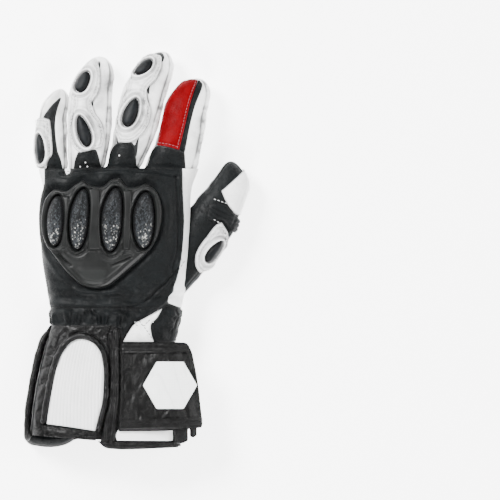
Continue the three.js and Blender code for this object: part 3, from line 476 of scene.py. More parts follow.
KNUCKLE_TABS = {
    "little": [
        (-0.22, 0.005), (-0.185, 0.075), (-0.017, 0.176), (0.12, 0.205), (0.235, 0.1),
        (0.32, 0.005),
    ],
    "ring": [
        (-0.18, 0.135), (0.215, 0.16), (0.278, 0.098), (0.32, 0.04), (0.4, 0.004), (-0.303, 0.004),
        (-0.246, 0.078),
    ],
    "middle": [
        (-0.135, 0.21), (0.177, 0.214), (0.243, 0.17), (0.285, 0.04), (0.36, 0.004), (-0.43, 0.004),
        (-0.36, 0.035), (-0.298, 0.136), (-0.232, 0.187),
    ],
    "index": [
        (-0.33, 0.24), (-0.054, 0.228), (0.188, 0.197), (0.265, 0.179), (0.3, 0.005),
        (-0.57, 0.005), (-0.5, 0.035), (-0.46, 0.087), (-0.4, 0.188),
    ],
}
BRIGHT_VENTS = {
    "ring": [(-0.016, 0.058), (-0.132, 0.02), (0.03, 0.022)],
    "middle": [(-0.084, 0.113)],
}
DARK_VENTS = {
    "little": [(0.034, 0.113), (-0.067, 0.05)],
    "middle": [(0.033, 0.055), (-0.199, 0.055)],
    "index": [(-0.158, 0.127), (-0.283, 0.06), (-0.012, 0.065)],
}
LITTLE_BACK = [
    (0.22, 0.88), (0.1, 0.765), (0.02, 0.627), (0.02, 0.427), (0.1, 0.22), (-0.017, 0.193),
    (0, 0.238), (-0.057, 0.489), (-0.108, 0.62), (-0.34, 0.65), (-0.034, 0.79),
]
LITTLE_ARMOUR = [
    (-0.36, 0.637), (-0.13, 0.615), (-0.08, 0.489), (-0.03, 0.238), (-0.05, 0.182),
    (-0.215, 0.082), (-0.256, 0.013), (-0.808, 0.013), (-0.808, 0.64),
]
RING_ARMOUR = [
    (-0.16, 0.15), (-0.326, 0.205), (-0.417, 0.33), (-0.383, 0.472), (-0.326, 0.588),
    (-0.35, 0.722), (-0.2, 0.833), (0.027, 0.94), (0.2, 0.975), (0.285, 0.918), (0.323, 0.775),
    (0.267, 0.668), (0.153, 0.588), (0.21, 0.499), (0.369, 0.414), (0.437, 0.303), (0.38, 0.196),
    (0.22, 0.178),
]
MIDDLE_ARMOUR = [
    (-0.12, 0.225), (-0.2, 0.306), (-0.155, 0.434), (-0.022, 0.578), (0.044, 0.672),
    (0.132, 0.774), (0.276, 0.863), (0.453, 0.94), (0.67, 0.97), (0.85, 0.94), (0.84, 0.85),
    (0.717, 0.757), (0.541, 0.676), (0.552, 0.595), (0.629, 0.502), (0.596, 0.391),
    (0.43, 0.298), (0.21, 0.232),
]
INDEX_PANEL = [
    (0.32, 0.97), (0.57, 0.975), (0.425, 0.744), (0.315, 0.497), (0.183, 0.212),
    (-0.054, 0.245), (-0.3, 0.262), (-0.2, 0.519), (-0.1, 0.726), (0.067, 0.866),
]
INDEX_STRIP = [
    (0.595, 0.975), (0.665, 0.94), (0.644, 0.895), (0.498, 0.709), (0.404, 0.53),
    (0.321, 0.32), (0.275, 0.192), (0.2, 0.21), (0.331, 0.497), (0.441, 0.74),
]
THUMB_TIP = [
    (0.208, 1.0), (0.357, 0.925), (0.598, 0.605), (0.453, 0.572), (0.145, 0.63),
    (-0.07, 0.709), (0.023, 0.797), (0.106, 0.883),
]
THUMB_STRAP = [
    (-0.187, 0.553), (-0.079, 0.58), (0.148, 0.61), (0.45, 0.556), (0.585, 0.531),
    (0.586, 0.415), (0.462, 0.415), (0.317, 0.455), (0.201, 0.47), (0.104, 0.43),
    (-0.094, 0.42),
]
THUMB_ARMOUR = [
    (0.215, 0.45), (0.34, 0.42), (0.47, 0.375), (0.53, 0.3), (0.53, 0.122), (0.42, 0.02),
    (0.281, -0.058), (0.132, -0.02), (0.014, 0.072), (0.005, 0.159), (0.062, 0.277),
    (0.135, 0.406),
]
# Place across and along, length, width, tilt in degrees, and how pointed the lower end is
PADS = {
    "little": {"little_pad": (-0.54, 0.257, 0.36, 0.46, 0, 0.3)},
    "ring": {
        "ring_upper_pad": (-0.098, 0.771, 0.192, 0.3, 2, 0.1),
        "ring_lower_pad": (-0.064, 0.334, 0.28, 0.32, 15, 0.4),
    },
    "middle": {
        "middle_upper_pad": (0.444, 0.862, 0.16, 0.34, -10, 0.05),
        "middle_lower_pad": (0.161, 0.474, 0.238, 0.335, -5, 0.35),
    },
    "thumb": {"thumb_pad": (0.35, 0.18, 0.228, 0.235, -2, 0.4)},
}
# Degrees around the cuff, and place along it
SIDE_ROLL = [
    (168, -0.03), (171, -0.12), (171, -0.25), (171, -0.45), (171, -0.65), (172, -0.8), (176, -0.93),
    (190, -1.0),
]
# The soft end of the cuff's palm side, which shows past the mouth
LOBE = [
    (-0.583, -0.9), (-0.588, -0.95), (-0.583, -0.99), (-0.554, -1.034), (-0.487, -1.057),
    (-0.375, -1.062), (-0.295, -1.035), (-0.24, -0.99), (-0.2, -0.95), (-0.3, -0.93), (-0.5, -0.9),
]
# Each row with its height over the thumb
THUMB_STITCHES = [([(-0.114, 0.615), (0.124, 0.626)], 0.2), ([(-0.03, 0.446), (0.143, 0.438)], 2.3)]
GUSSET_STITCHES = [
    [(0.142, -0.02), (0.155, -0.04), (0.168, -0.024)],
    [(0.19, 0.004), (0.211, -0.035), (0.25, 0.012)],
    [(0.207, -0.025), (0.237, -0.073), (0.264, -0.128)],
]
# Dark openings beside the finger armour, painted black on the armour and on the stall below as the shade
# inside them
SLITS = {
    "ring": [
        [(0.276, 0.963), (0.316, 0.948), (0.319, 0.912), (0.298, 0.889), (0.273, 0.921)],
        [(0.123, 0.613), (0.164, 0.582), (0.159, 0.555), (0.137, 0.547), (0.112, 0.582)],
    ],
    "middle": [
        [(0.637, 0.975), (0.772, 0.993), (0.856, 0.988), (0.916, 0.955), (0.902, 0.923),
         (0.852, 0.901), (0.856, 0.934), (0.827, 0.962), (0.739, 0.973)],
        [(0.05, 0.7), (0.081, 0.687), (0.067, 0.646), (0.021, 0.606), (0.012, 0.636)],
        [(0.613, 0.715), (0.589, 0.687), (0.582, 0.627), (0.545, 0.645), (0.52, 0.662), (0.556, 0.692)],
        [(-0.176, 0.288), (-0.147, 0.224), (-0.195, 0.217), (-0.202, 0.254)],
        [(0.374, 0.278), (0.348, 0.224), (0.319, 0.11), (0.262, 0.105), (0.255, 0.172), (0.304, 0.234)],
    ],
}

# Where the black back and its tabs meet over the white shell, and where back and wrist do
KNUCKLE_SEAM = [
    [(left, 0.97), (left, 1.01), (right, 1.01), (right, 0.97)]
    for left, right in ((-0.44, -0.32), (-0.262, 0.465))]
WRIST_SEAM = [(-0.5, -0.02), (-0.5, 0.1), (0.25, 0.1), (0.33, 0.1), (0.2, 0.02), (0.1, -0.02)]


# Outlines and lines on a form

def spaced(points, step, closed):
    """Points at an even spacing along a line."""
    line = np.vstack([points, points[:1]]) if closed else np.asarray(points)
    at = run_along(*line.T)
    count = max(int(round(at[-1] / step)), 3)
    stops = np.linspace(0, at[-1], count + 1)[: count if closed else None]
    return np.stack([np.interp(stops, at, column) for column in line.T], -1)


CURVE_STEPS = 10


def smooth_line(points, closed, corner=52):
    """A smooth curve through points, kept sharp where it turns by more than a corner."""
    points = np.asarray(points, float)
    count = len(points)
    get = lambda i: points[i % count] if closed else points[min(max(i, 0), count - 1)]
    tangents = []
    for i in range(count):
        into, away = get(i) - get(i - 1), get(i + 1) - get(i)
        a, b = np.linalg.norm(into) + 1e-9, np.linalg.norm(away) + 1e-9
        turn = math.degrees(math.acos(np.clip(into @ away / (a * b), -1, 1)))
        blend = (into / a * b + away / b * a) / (a + b)
        tangents.append(None if turn > corner else (blend, 1.6 * min(a, b)))
    curve = []
    for i in range(count if closed else count - 1):
        p, q = get(i), get(i + 1)
        span = np.linalg.norm(q - p)
        pull = [(q - p) if side is None else side[0] * min(span, side[1])
                for side in (tangents[i], tangents[(i + 1) % count])]
        t = np.arange(CURVE_STEPS)[:, None] / CURVE_STEPS
        curve.append((2 * t**3 - 3 * t**2 + 1) * p + (t**3 - 2 * t**2 + t) * pull[0]
                     + (3 * t**2 - 2 * t**3) * q + (t**3 - t**2) * pull[1])
    if not closed:
        curve.append(points[-1:])
    return np.vstack(curve)


def trace(form, shares, closed=True, side=BACK_SIDE, corner=52, step=1.0, height=LAYER):
    """A line drawn on a form from above, as girth and reach in millimetres."""
    shares = np.asarray(shares, float)
    plan = np.stack([shares[:, 0] * form.width, form.span(shares[:, 1])], -1)
    plan = spaced(smooth_line(plan, closed, corner), 0.6, closed)
    angle, past = form.angle_at(plan[:, 1], plan[:, 0], height)
    angle = np.where(past, np.where(angle < 90, side[0], side[1]), np.clip(angle, *side))
    flat = np.stack([form.girth_at(angle), form.reach_at(plan[:, 1])], -1)
    return spaced(flat, step, closed)


def seed_outline(form, across, along, length, width, tilt, pointed, extra, step=0.8):
    """Almond outline of a pad seated on a form."""
    y = form.span(along)
    angle, _ = form.angle_at(y, across * form.width, SEED_SEEN_AT)
    turn = np.linspace(0, 2 * math.pi, 64, endpoint=False)
    slim = 1 - pointed * (0.5 - 0.5 * np.cos(turn))
    x = np.sin(turn) * slim * (width / 2 + extra)
    up = -np.cos(turn) * (length / 2 + extra)
    lean = math.radians(tilt)
    centre = (form.girth_at(angle), form.reach_at(y))
    points = np.stack([
        centre[0] + x * math.cos(lean) - up * math.sin(lean),
        centre[1] + x * math.sin(lean) + up * math.cos(lean)], -1)
    return spaced(points, step, True)


def inside(loop, points):
    """Which points lie inside a closed line."""
    a, b = loop, np.roll(loop, -1, 0)
    x, y = points[:, 0, None], points[:, 1, None]
    crosses = (a[:, 1] > y) != (b[:, 1] > y)
    rise = np.where(b[:, 1] == a[:, 1], 1e-12, b[:, 1] - a[:, 1])
    return (crosses & (x < a[:, 0] + (y - a[:, 1]) / rise * (b[:, 0] - a[:, 0]))).sum(1) % 2 == 1


def distance(starts, ends, points):
    """Distance from each point to the nearest of many short lines."""
    found = np.full(len(points), 1e9)
    along = ends - starts
    size = np.maximum((along**2).sum(1), 1e-12)
    for first in range(0, len(points), 2000):
        part = points[first : first + 2000, None]
        t = np.clip(((part - starts) * along).sum(2) / size, 0, 1)
        gap = part - starts - t[..., None] * along
        found[first : first + 2000] = np.sqrt((gap**2).sum(2).min(1))
    return found


def to_line(line, points, closed=False):
    ends = np.roll(line, -1, 0) if closed else line[1:]
    return distance(line if closed else line[:-1], ends, points)


def depth(loop, points):
    """Distance to a closed line, above zero inside it."""
    far = to_line(loop, points, True)
    return np.where(inside(loop, points), far, -far)


# Meshes

def placed(name, data):
    """A new object in the scene."""
    made = bpy.data.objects.new(name, data)
    bpy.context.scene.collection.objects.link(made)
    return made


def new_piece(name, points, faces, material, slot, smooth_angle=None, data=None):
    """A piece of the glove from points in millimetres, riding on the glove's one body."""
    mesh = bpy.data.meshes.new(name)
    points = np.asarray(points, float) * MM + np.array(WRIST)
    mesh.from_pydata(points.tolist(), [], [list(f) for f in faces])
    # By default a piece has no painted shading and is not coloured black anywhere.
    plain = {"rim": 20.0, "dye": -9.0, "soil": 0.0, "ridge": 1.0}
    for key, values in {**{k: np.full(len(points), v) for k, v in plain.items()},
                        **(data or {})}.items():
        mesh.attributes.new(key, "FLOAT", "POINT").data.foreach_set(
            "value", np.asarray(values, np.float32))
    mesh.shade_smooth()
    if smooth_angle:
        mesh.set_sharp_from_angle(angle=math.radians(smooth_angle))
    mesh.materials.append(material)
    piece = placed(name, mesh)
    return settle(piece, slot) if slot else piece


def stand_in(node, ending, *made):
    """A finished piece that stands for a node of the frame."""
    piece = new_piece(f"{node}_{ending}", *made)
    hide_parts(node)
    return piece


def settle(piece, slot, *nodes):
    """Fixes a finished piece to the frame."""
    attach(piece, "root")
    if nodes:
        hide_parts(*nodes)
    return piece


class Field:
    """Points of a panel while it gets its thickness."""

    def __init__(self, form, flat, edge):
        self.form, self.flat, self.edge = form, flat, edge
        # Painted shading that a panel's details set: shade in grooves, or light on a facet.
        self.soil = np.zeros(len(flat))
        self.girth, self.reach = flat.T
        self.y, self.angle = form.y_on(self.reach), form.angle_on(self.girth)

    def to(self, line):
        return to_line(line, self.flat)

    def depth(self, loop):
        return depth(loop, self.flat)


def lattice(low, high, step):
    """Points of a triangular grid over a rectangle."""
    rise = step * math.sqrt(3) / 2
    rows = np.arange(low[1], high[1] + rise, rise)
    columns = np.arange(low[0], high[0] + step, step)
    points = [np.stack([columns + step / 2 * (i % 2), np.full(len(columns), y)], -1)
              for i, y in enumerate(rows)]
    return np.vstack(points)


def border_edges(faces):
    """Edges with a face on one side only, in the direction that the face has them."""
    edges = np.vstack([faces[:, [0, 1]], faces[:, [1, 2]], faces[:, [2, 0]]])
    known = set(map(tuple, edges))
    return np.array([e for e in known if (e[1], e[0]) not in known])


def cut_sheet(outline, step, without=(), lines=()):
    """Triangles that fill a closed line and leave others out, their border and distance to it."""
    loops = [outline, *without]
    starts = np.vstack(loops + [line[:-1] for line in lines])
    ends = np.vstack([np.roll(loop, -1, 0) for loop in loops] + [line[1:] for line in lines])

    def kept(points):
        return inside(outline, points) & ~np.any([inside(loop, points) for loop in without], axis=0)

    grid = lattice(outline.min(0), outline.max(0), step)
    grid = grid[kept(grid)]
    grid = grid[distance(starts, ends, grid) > 0.45 * step]
    points, edges = [], []
    for line, closed in [(loop, True) for loop in loops] + [(line, False) for line in lines]:
        first, count = len(points), len(line)
        points += line.tolist()
        edges += [(first + i, first + (i + 1) % count) for i in range(count if closed else count - 1)]
    points += grid.tolist()
    found = delaunay_2d_cdt([Vector(p) for p in points], edges, [], 0, 1e-4)
    flat = np.array([tuple(p) for p in found[0]])
    faces = np.array([f for f in found[2] if len(f) == 3])
    a, b, c = (flat[faces[:, i]] for i in range(3))
    area = (b[:, 0] - a[:, 0]) * (c[:, 1] - a[:, 1]) - (b[:, 1] - a[:, 1]) * (c[:, 0] - a[:, 0])
    keep = kept(flat[faces].mean(1)) & (np.abs(area) > 1e-5)
    faces = np.where((area > 0)[:, None], faces, faces[:, ::-1])[keep]
    used, faces = np.unique(faces, return_inverse=True)
    flat, faces = flat[used], faces.reshape(-1, 3)
    border = border_edges(faces)
    return flat, faces, border, distance(flat[border[:, 0]], flat[border[:, 1]], flat)


def rounded(edge, reach):
    """Rises from 0 to 1 over a distance, as a quarter of a circle does."""
    return np.sqrt(1 - (1 - np.clip(edge / reach, 0, 1)) ** 2)


def two_skins(top, under, faces, border):
    """Points and faces of a closed sheet."""
    count = len(top)
    walls = [(b, a, a + count, b + count) for a, b in border]
    around = [tuple(f) for f in faces[:, ::-1]] + [tuple(f + count) for f in faces] + walls
    return np.vstack([top, under]), around


def on_top(values):
    """Values of a sheet's upper skin, with nothing below."""
    return np.concatenate([values, np.zeros(len(values))])


def sheet_piece(node, form, outline, thickness, finish, ending="leather", low=GAP, step=1.0,
                without=(), lines=(), edge_round=1.1, details=None, dye=None, smooth_angle=None,
                side_share=0.5):
    """A closed sheet that covers an outline on a form, with rounded edges and a detailed face."""
    flat, faces, border, edge = cut_sheet(outline, step, without, lines)
    field = Field(form, flat, edge)
    height = thickness * (side_share + (1 - side_share) * rounded(edge, edge_round))
    if details:
        height = height + details(field)
    top = form.surface(field.y, field.angle, low + np.maximum(height, 0.1))
    under = form.surface(field.y, field.angle, low)
    # The details' painted shading goes with the points of both skins.
    data = {"rim": on_top(edge), "soil": np.tile(np.clip(field.soil, 0, 1), 2)}
    if dye is not None:
        data["dye"] = np.tile(dye(field), 2)
    return stand_in(node, ending, *two_skins(top, under, faces, border), *finish, smooth_angle, data)


def ring_faces(rows, columns):
    """Four-sided faces of a grid that closes around."""
    faces = []
    for r in range(rows - 1):
        for c in range(columns):
            d = (c + 1) % columns
            low, high = r * columns, (r + 1) * columns
            faces.append((low + c, low + d, high + d, high + c))
    return faces


def tube(form, start, end, offset, columns, step, caps=(True, True)):
    """Points and faces of a form's skin between two distances along it."""
    first, last = form.reach_at(start), form.reach_at(end)
    count = max(int((last - first) / step), 2)
    ys = form.y_on(np.linspace(first, last, count + 1))
    if form.length and end >= form.length:
        ys[-1] = form.length - 0.002
    angles = np.linspace(0, 360, columns, endpoint=False)
    angles = np.where(angles > 270, angles - 360, angles)
    grid_y, grid_a = np.meshgrid(ys, angles, indexing="ij")
    points = form.surface(grid_y, grid_a, offset).reshape(-1, 3)
    faces = ring_faces(len(ys), columns)
    total = len(points)
    ends = []
    if caps[0]:
        faces += [(total, (c + 1) % columns, c) for c in range(columns)]
        ends.append(points[:columns].mean(0))
    if caps[1]:
        base = (len(ys) - 1) * columns
        centre = total + len(ends)
        faces += [(centre, base + c, base + (c + 1) % columns) for c in range(columns)]
        ends.append(points[base : base + columns].mean(0))
    if ends:
        points = np.vstack([points, ends])
    data = np.stack([grid_y.ravel(), grid_a.ravel()], -1)
    data = np.vstack([data, np.tile(data[-1:], (len(ends), 1))])
    return points, faces, data


def stall(form, start, columns, step):
    """A finger's wall: outer and inner skin joined at the mouth."""
    outer, outer_faces, data = tube(form, start, form.length, 0, columns, step, (False, True))
    inner, inner_faces, more = tube(form, start, form.length, -WALL, columns, step, (False, True))
    count = len(outer)
    faces = list(outer_faces)
    faces += [tuple(count + i for i in reversed(f)) for f in inner_faces]
    faces += [((c + 1) % columns, c, count + c, count + (c + 1) % columns) for c in range(columns)]
    return np.vstack([outer, inner]), faces, np.vstack([data, more])


def cuff_wall(columns, step):
    """The cuff's wall: outer and inner skin joined at the wrist and at the slanted mouth."""
    skins = []
    for offset in (0, -WALL):
        points, around, data = tube(body, -CUFF_LENGTH, -GAP / 2, offset, columns, step, (False, False))
        share = (data[:, 0] + GAP / 2) / (GAP / 2 - CUFF_LENGTH)
        for _ in range(3):
            mouth = -CUFF_LENGTH - points[:, 0] * math.tan(math.radians(MOUTH_SLANT))
            points = body.surface(-GAP / 2 + share * (mouth + GAP / 2), data[:, 1], offset)
        skins.append(points)
    count = len(points)
    wrist = count - columns
    faces = list(around) + [tuple(count + i for i in reversed(face)) for face in around]
    for c in range(columns):
        beside = (c + 1) % columns
        faces.append((beside, c, count + c, count + beside))
        faces.append((wrist + c, wrist + beside, count + wrist + beside, count + wrist + c))
    return np.vstack(skins), faces


def solid(points, faces):
    """A scratch object for cutting, in millimetres."""
    mesh = bpy.data.meshes.new("cut")
    mesh.from_pydata(points.tolist(), [], [list(f) for f in faces])
    return placed("cut", mesh)


def cut_away(target, cutters):
    """Points and faces of a solid after cutting others out of it."""
    for cutter in cutters:
        modifier = target.modifiers.new("cut", "BOOLEAN")
        modifier.operation = "DIFFERENCE"
        modifier.solver = "MANIFOLD"
        modifier.object = cutter
    evaluated = target.evaluated_get(bpy.context.evaluated_depsgraph_get())
    made = bpy.data.meshes.new_from_object(evaluated)
    points = np.zeros(len(made.vertices) * 3, np.float32)
    made.vertices.foreach_get("co", points)
    faces = [tuple(p.vertices) for p in made.polygons]
    for piece in [target, *cutters]:
        bpy.data.objects.remove(piece)
    return points.reshape(-1, 3).astype(float), faces


def sweep(points, outs, radius, sides=14):
    """A closed cord along a line. The radius may change along it and around it."""
    along = np.gradient(points, axis=0)
    along /= np.linalg.norm(along, axis=1, keepdims=True)
    right = np.cross(along, outs)
    right /= np.linalg.norm(right, axis=1, keepdims=True)
    up = np.cross(right, along)
    turn = np.linspace(0, 2 * math.pi, sides, endpoint=False)
    radius = np.broadcast_to(np.asarray(radius, float).reshape(len(points), -1), (len(points), sides))
    ease = np.minimum(np.arange(len(points)), np.arange(len(points))[::-1]) / 3
    radius = radius * np.sqrt(1 - (1 - np.clip(ease, 0.12, 1)) ** 2)[:, None]
    ring = right[:, None] * np.cos(turn)[:, None] + up[:, None] * np.sin(turn)[:, None]
    skin = (points[:, None] + radius[..., None] * ring).reshape(-1, 3)
    faces = [f[::-1] for f in ring_faces(len(points), sides)]
    total = len(skin)
    base = total - sides
    faces += [(total, c, (c + 1) % sides) for c in range(sides)]
    faces += [(total + 1, base + (c + 1) % sides, base + c) for c in range(sides)]
    return np.vstack([skin, points[:1], points[-1:]]), faces


def on_form(form, line, offset):
    """A line of girth and reach as points in space, with the directions that face out."""
    y, angle = form.y_on(line[:, 1]), form.angle_on(line[:, 0])
    at = form.surface(y, angle, offset)
    out = form.surface(y, angle, offset + 1) - at
    return at, out / np.linalg.norm(out, axis=1, keepdims=True)


# Shader maths

def maths_on(operation, turned=False):
    """An operator of Value that adds a Math node, with its two sides turned round if asked."""
    def work(self, other):
        a, b = (other, self) if turned else (self, other)
        return self.graph.node("ShaderNodeMath", {"operation": operation}, {0: a, 1: b})

    return work


class Value:
    """A shader socket that reads as a number in a plain expression."""

    def __init__(self, graph, socket):
        self.graph, self.socket = graph, socket

    __add__, __radd__ = maths_on("ADD"), maths_on("ADD", True)
    __sub__, __rsub__ = maths_on("SUBTRACT"), maths_on("SUBTRACT", True)
    __mul__, __rmul__ = maths_on("MULTIPLY"), maths_on("MULTIPLY", True)
    __truediv__, __rtruediv__ = maths_on("DIVIDE"), maths_on("DIVIDE", True)
    __pow__ = maths_on("POWER")


class Graph:
    """Builds a material's or a modifier's nodes."""

    def __init__(self, tree):
        self.tree = tree

    def node(self, kind, settings=None, inputs=None, output=0):
        made = self.tree.nodes.new(kind)
        for key, value in (settings or {}).items():
            if key == "stops":
                ramp = made.color_ramp
                while len(ramp.elements) < len(value):
                    ramp.elements.new(0.5)
                for element, (place, colour) in zip(ramp.elements, value):
                    element.position, element.color = place, colour
            else:
                setattr(made, key, value)
        for key, value in (inputs or {}).items():
            if isinstance(value, Value):
                self.tree.links.new(value.socket, made.inputs[key])
            else:
                made.inputs[key].default_value = value
        return Value(self, made.outputs[output])

    def maths(self, operation, value):
        return self.node("ShaderNodeMath", {"operation": operation}, {0: value})

    def attribute(self, name):
        return self.node("ShaderNodeAttribute", {"attribute_name": name}, output="Fac")

    def ramp(self, value, low, high):
        """Rises smoothly from 0 to 1 between two values."""
        return self.node(
            "ShaderNodeMapRange", {"interpolation_type": "SMOOTHSTEP"},
            {"Value": value, "From Min": low, "From Max": high})

    def mottle(self, where, scale, detail):
        return self.texture("ShaderNodeTexNoise", where, scale, None, {"Detail": detail})

    def mix(self, factor, a, b):
        """Mixes two colours, through the colour sockets of a Mix node."""
        a, b = (colour if isinstance(colour, Value) else (*colour, 1.0) for colour in (a, b))
        return self.node("ShaderNodeMix", {"data_type": "RGBA"}, {0: factor, 6: a, 7: b}, 2)

    def cells(self, where, scale, randomness, feature="F1", output="Distance"):
        return self.texture("ShaderNodeTexVoronoi", where, scale, {"feature": feature},
                            {"Randomness": randomness}, output)

    def texture(self, kind, where, scale, settings=None, inputs=None, output=0):
        return self.node(kind, settings, {"Vector": where, "Scale": scale, **(inputs or {})}, output)


def new_material(name):
    material = bpy.data.materials.new(name)
    material.use_nodes = True
    graph = Graph(material.node_tree)
    shader = next(n for n in graph.tree.nodes if n.type == "BSDF_PRINCIPLED")
    where = graph.node(
        "ShaderNodeVectorMath", {"operation": "SCALE"},
        {0: graph.node("ShaderNodeTexCoord", output="Object"), "Scale": 1 / MM})
    return material, graph, shader, where


def finish_material(graph, shader, settings, normal=None, **links):
    """Sets the shader's even values and links what changes over the surface."""
    for key, value in settings.items():
        shader.inputs[key].default_value = value
    for key, value in links.items():
        graph.tree.links.new(value.socket, shader.inputs[key.replace("_", " ")])
    if normal:
        graph.tree.links.new(normal.socket, shader.inputs["Normal"])


def bump(graph, height, distance_mm, strength=1.0):
    return graph.node(
        "ShaderNodeBump", None,
        {"Height": height, "Distance": distance_mm * MM, "Strength": strength}, "Normal")


def leather(name, colour, deep, gloss=(0.38, 0.6), grain=1.0, crease=1.0, worn=None, painted_shade_colour=None,
            dyed=None, settings=None):
    """Grained leather: pebbles, fine pores, creases, an uneven dye and rubbed or soiled edges."""
    material, graph, shader, where = new_material(name)
    pebbles = graph.texture(
        "ShaderNodeTexVoronoi", where, 0.9 / grain, {"feature": "SMOOTH_F1"}, {"Smoothness": 0.35},
        "Distance")
    pores = graph.mottle(where, 3.4 / grain, 3.0)
    cloud = graph.texture("ShaderNodeTexNoise", where, 0.055, None, {"Detail": 4.0, "Roughness": 0.6})
    patches = graph.mottle(where, 0.24, 3.0)
    folds = graph.texture(
        "ShaderNodeTexNoise", where, 0.13, None, {"Detail": 5.0, "Roughness": 0.62, "Distortion": 0.9})
    lines = 1 - graph.ramp(graph.maths("ABSOLUTE", folds - 0.5), 0, 0.035)
    height = pebbles * 0.6 + pores * 0.25 - lines * (0.55 * crease)
    rim = graph.attribute("rim")
    shade = graph.mix(graph.ramp(cloud + patches * 0.5, 0.55, 0.95), deep, colour)
    edge = (1 - graph.ramp(rim, 0.15, 1.5)) * graph.ramp(patches, 0.38, 0.62)
    if worn:
        shade = graph.mix(edge * 0.75, shade, worn)
    # Painted shade: the shade colour darkens the grooves and hollows that the pieces mark, a band along
    # each edge and the crease lines.
    if painted_shade_colour:
        low = graph.attribute("soil")
        soil = low * 1.1 + (1 - graph.ramp(rim, 0.0, 1.3)) * 0.6 + lines * 0.1
        shade = graph.mix(soil, shade, painted_shade_colour)
    # The black colour marks where the shell lies under black panels, and paints the finger openings
    # black as their shade.
    if dyed:
        shade = graph.mix(graph.ramp(graph.attribute("dye"), -0.12, 0.12), shade, dyed)
    dull = cloud * 0.6 + patches * 0.4 + lines * 0.15
    roughness = dull * (gloss[1] - gloss[0]) * 1.4 + gloss[0] - edge * 0.05
    finish_material(
        graph, shader, {"Specular IOR Level": 0.3, **(settings or {})},
        bump(graph, height, 0.22 * grain), Base_Color=shade, Roughness=roughness)
    return material


def moulded(name, colour, light):
    """Satin moulded plastic with a fine spark texture and rubbed corners."""
    material, graph, shader, where = new_material(name)
    spark = graph.mottle(where, 2.6, 2.0)
    cloud = graph.mottle(where, 0.09, 3.0)
    scratches = graph.texture(
        "ShaderNodeTexNoise", graph.node("ShaderNodeMapping", None, {
            "Vector": where, "Rotation": (0.0, 0.0, 0.5), "Scale": (1.0, 0.07, 1.0)}), 1.7)
    marks = graph.ramp(scratches, 0.66, 0.72)
    rim = 1 - graph.ramp(graph.attribute("rim"), 0.2, 1.4)
    shade = graph.mix(graph.ramp(cloud, 0.35, 0.7) * 0.6 + rim * 0.3, colour, light)
    # Painted light: the chin facet is painted lighter, as a facet that faces the light would look.
    shade = graph.mix(graph.attribute("soil") * 0.8, shade, shaded(light, 1.3))
    finish_material(
        graph, shader, {"Specular IOR Level": 0.16}, bump(graph, spark - marks * 0.3, 0.05),
        Base_Color=shade, Roughness=cloud * 0.15 + 0.42 + marks * 0.1 - rim * 0.08)
    return material


def woven(name, dark, light):
    """Chopped weave under a clear coat, whose facets catch the light one by one."""
    material, graph, shader, where = new_material(name)
    stretched = graph.node("ShaderNodeMapping", None, {
        "Vector": where, "Rotation": (0.0, 0.0, 0.6), "Scale": (1.0, 0.75, 1.0)})
    cells = graph.cells(stretched, 1.1, 0.85, output="Color")
    tone = graph.node("ShaderNodeSeparateColor", None, {"Color": cells}, "Red")
    second = graph.node("ShaderNodeSeparateColor", None, {"Color": cells}, "Green")
    edges = graph.cells(stretched, 1.1, 0.85, "DISTANCE_TO_EDGE")
    seam = 1 - graph.ramp(edges, 0.02, 0.16)
    # Share of the way towards the lower end, where the light falls on the facets.
    low = graph.attribute("low")
    rim = graph.ramp(graph.attribute("rim"), 0.7, 2.4)
    # Painted glints: lighter facets, more of them towards the lower end, none at the edge.
    painted_glints = graph.ramp(tone + low * 0.75, 1.25, 1.6) * rim
    # Lighter towards the lower end as well as by the cells: partly painted light, partly the weave's own
    # tone.
    middle = graph.mix(graph.ramp(low * 0.7 + second, 0.35, 1.5) * rim, dark,
                       shaded(dark, 9))
    shade = graph.mix(painted_glints, middle, light)
    # Dark lines between the cells of the weave, and painted shade along the edge.
    shade = graph.mix(seam * 0.8 + (1 - rim) * 0.2, shade, (0.001, 0.001, 0.0012))
    height = graph.ramp(edges, 0.0, 0.3) + second * 1.1
    finish_material(
        graph, shader, {"Coat Roughness": 0.35, "Specular IOR Level": 0.12},
        bump(graph, height, 0.4, 0.9), Base_Color=shade, Roughness=0.6 - painted_glints * 0.3,
        Metallic=painted_glints * 0.6, Coat_Weight=rim * 0.03)
    return material


def rubber(name, colour, light):
    """Matte rubber with a fine stipple and a lighter bloom."""
    material, graph, shader, where = new_material(name)
    dots = graph.cells(where, 1.6, 0.2)
    cloud = graph.mottle(where, 0.35, 4.0)
    # Painted shade: the pad turns darker towards its edge, where it meets the armour.
    rim = graph.ramp(graph.attribute("rim"), 0.5, 2.6)
    shade = graph.mix(graph.ramp(cloud, 0.3, 0.75) * rim, shaded(colour, 0.4), light)
    finish_material(
        graph, shader, {"Specular IOR Level": 0.12}, bump(graph, 1 - dots, 0.12),
        Base_Color=shade, Roughness=cloud * 0.2 + 0.4)
    return material


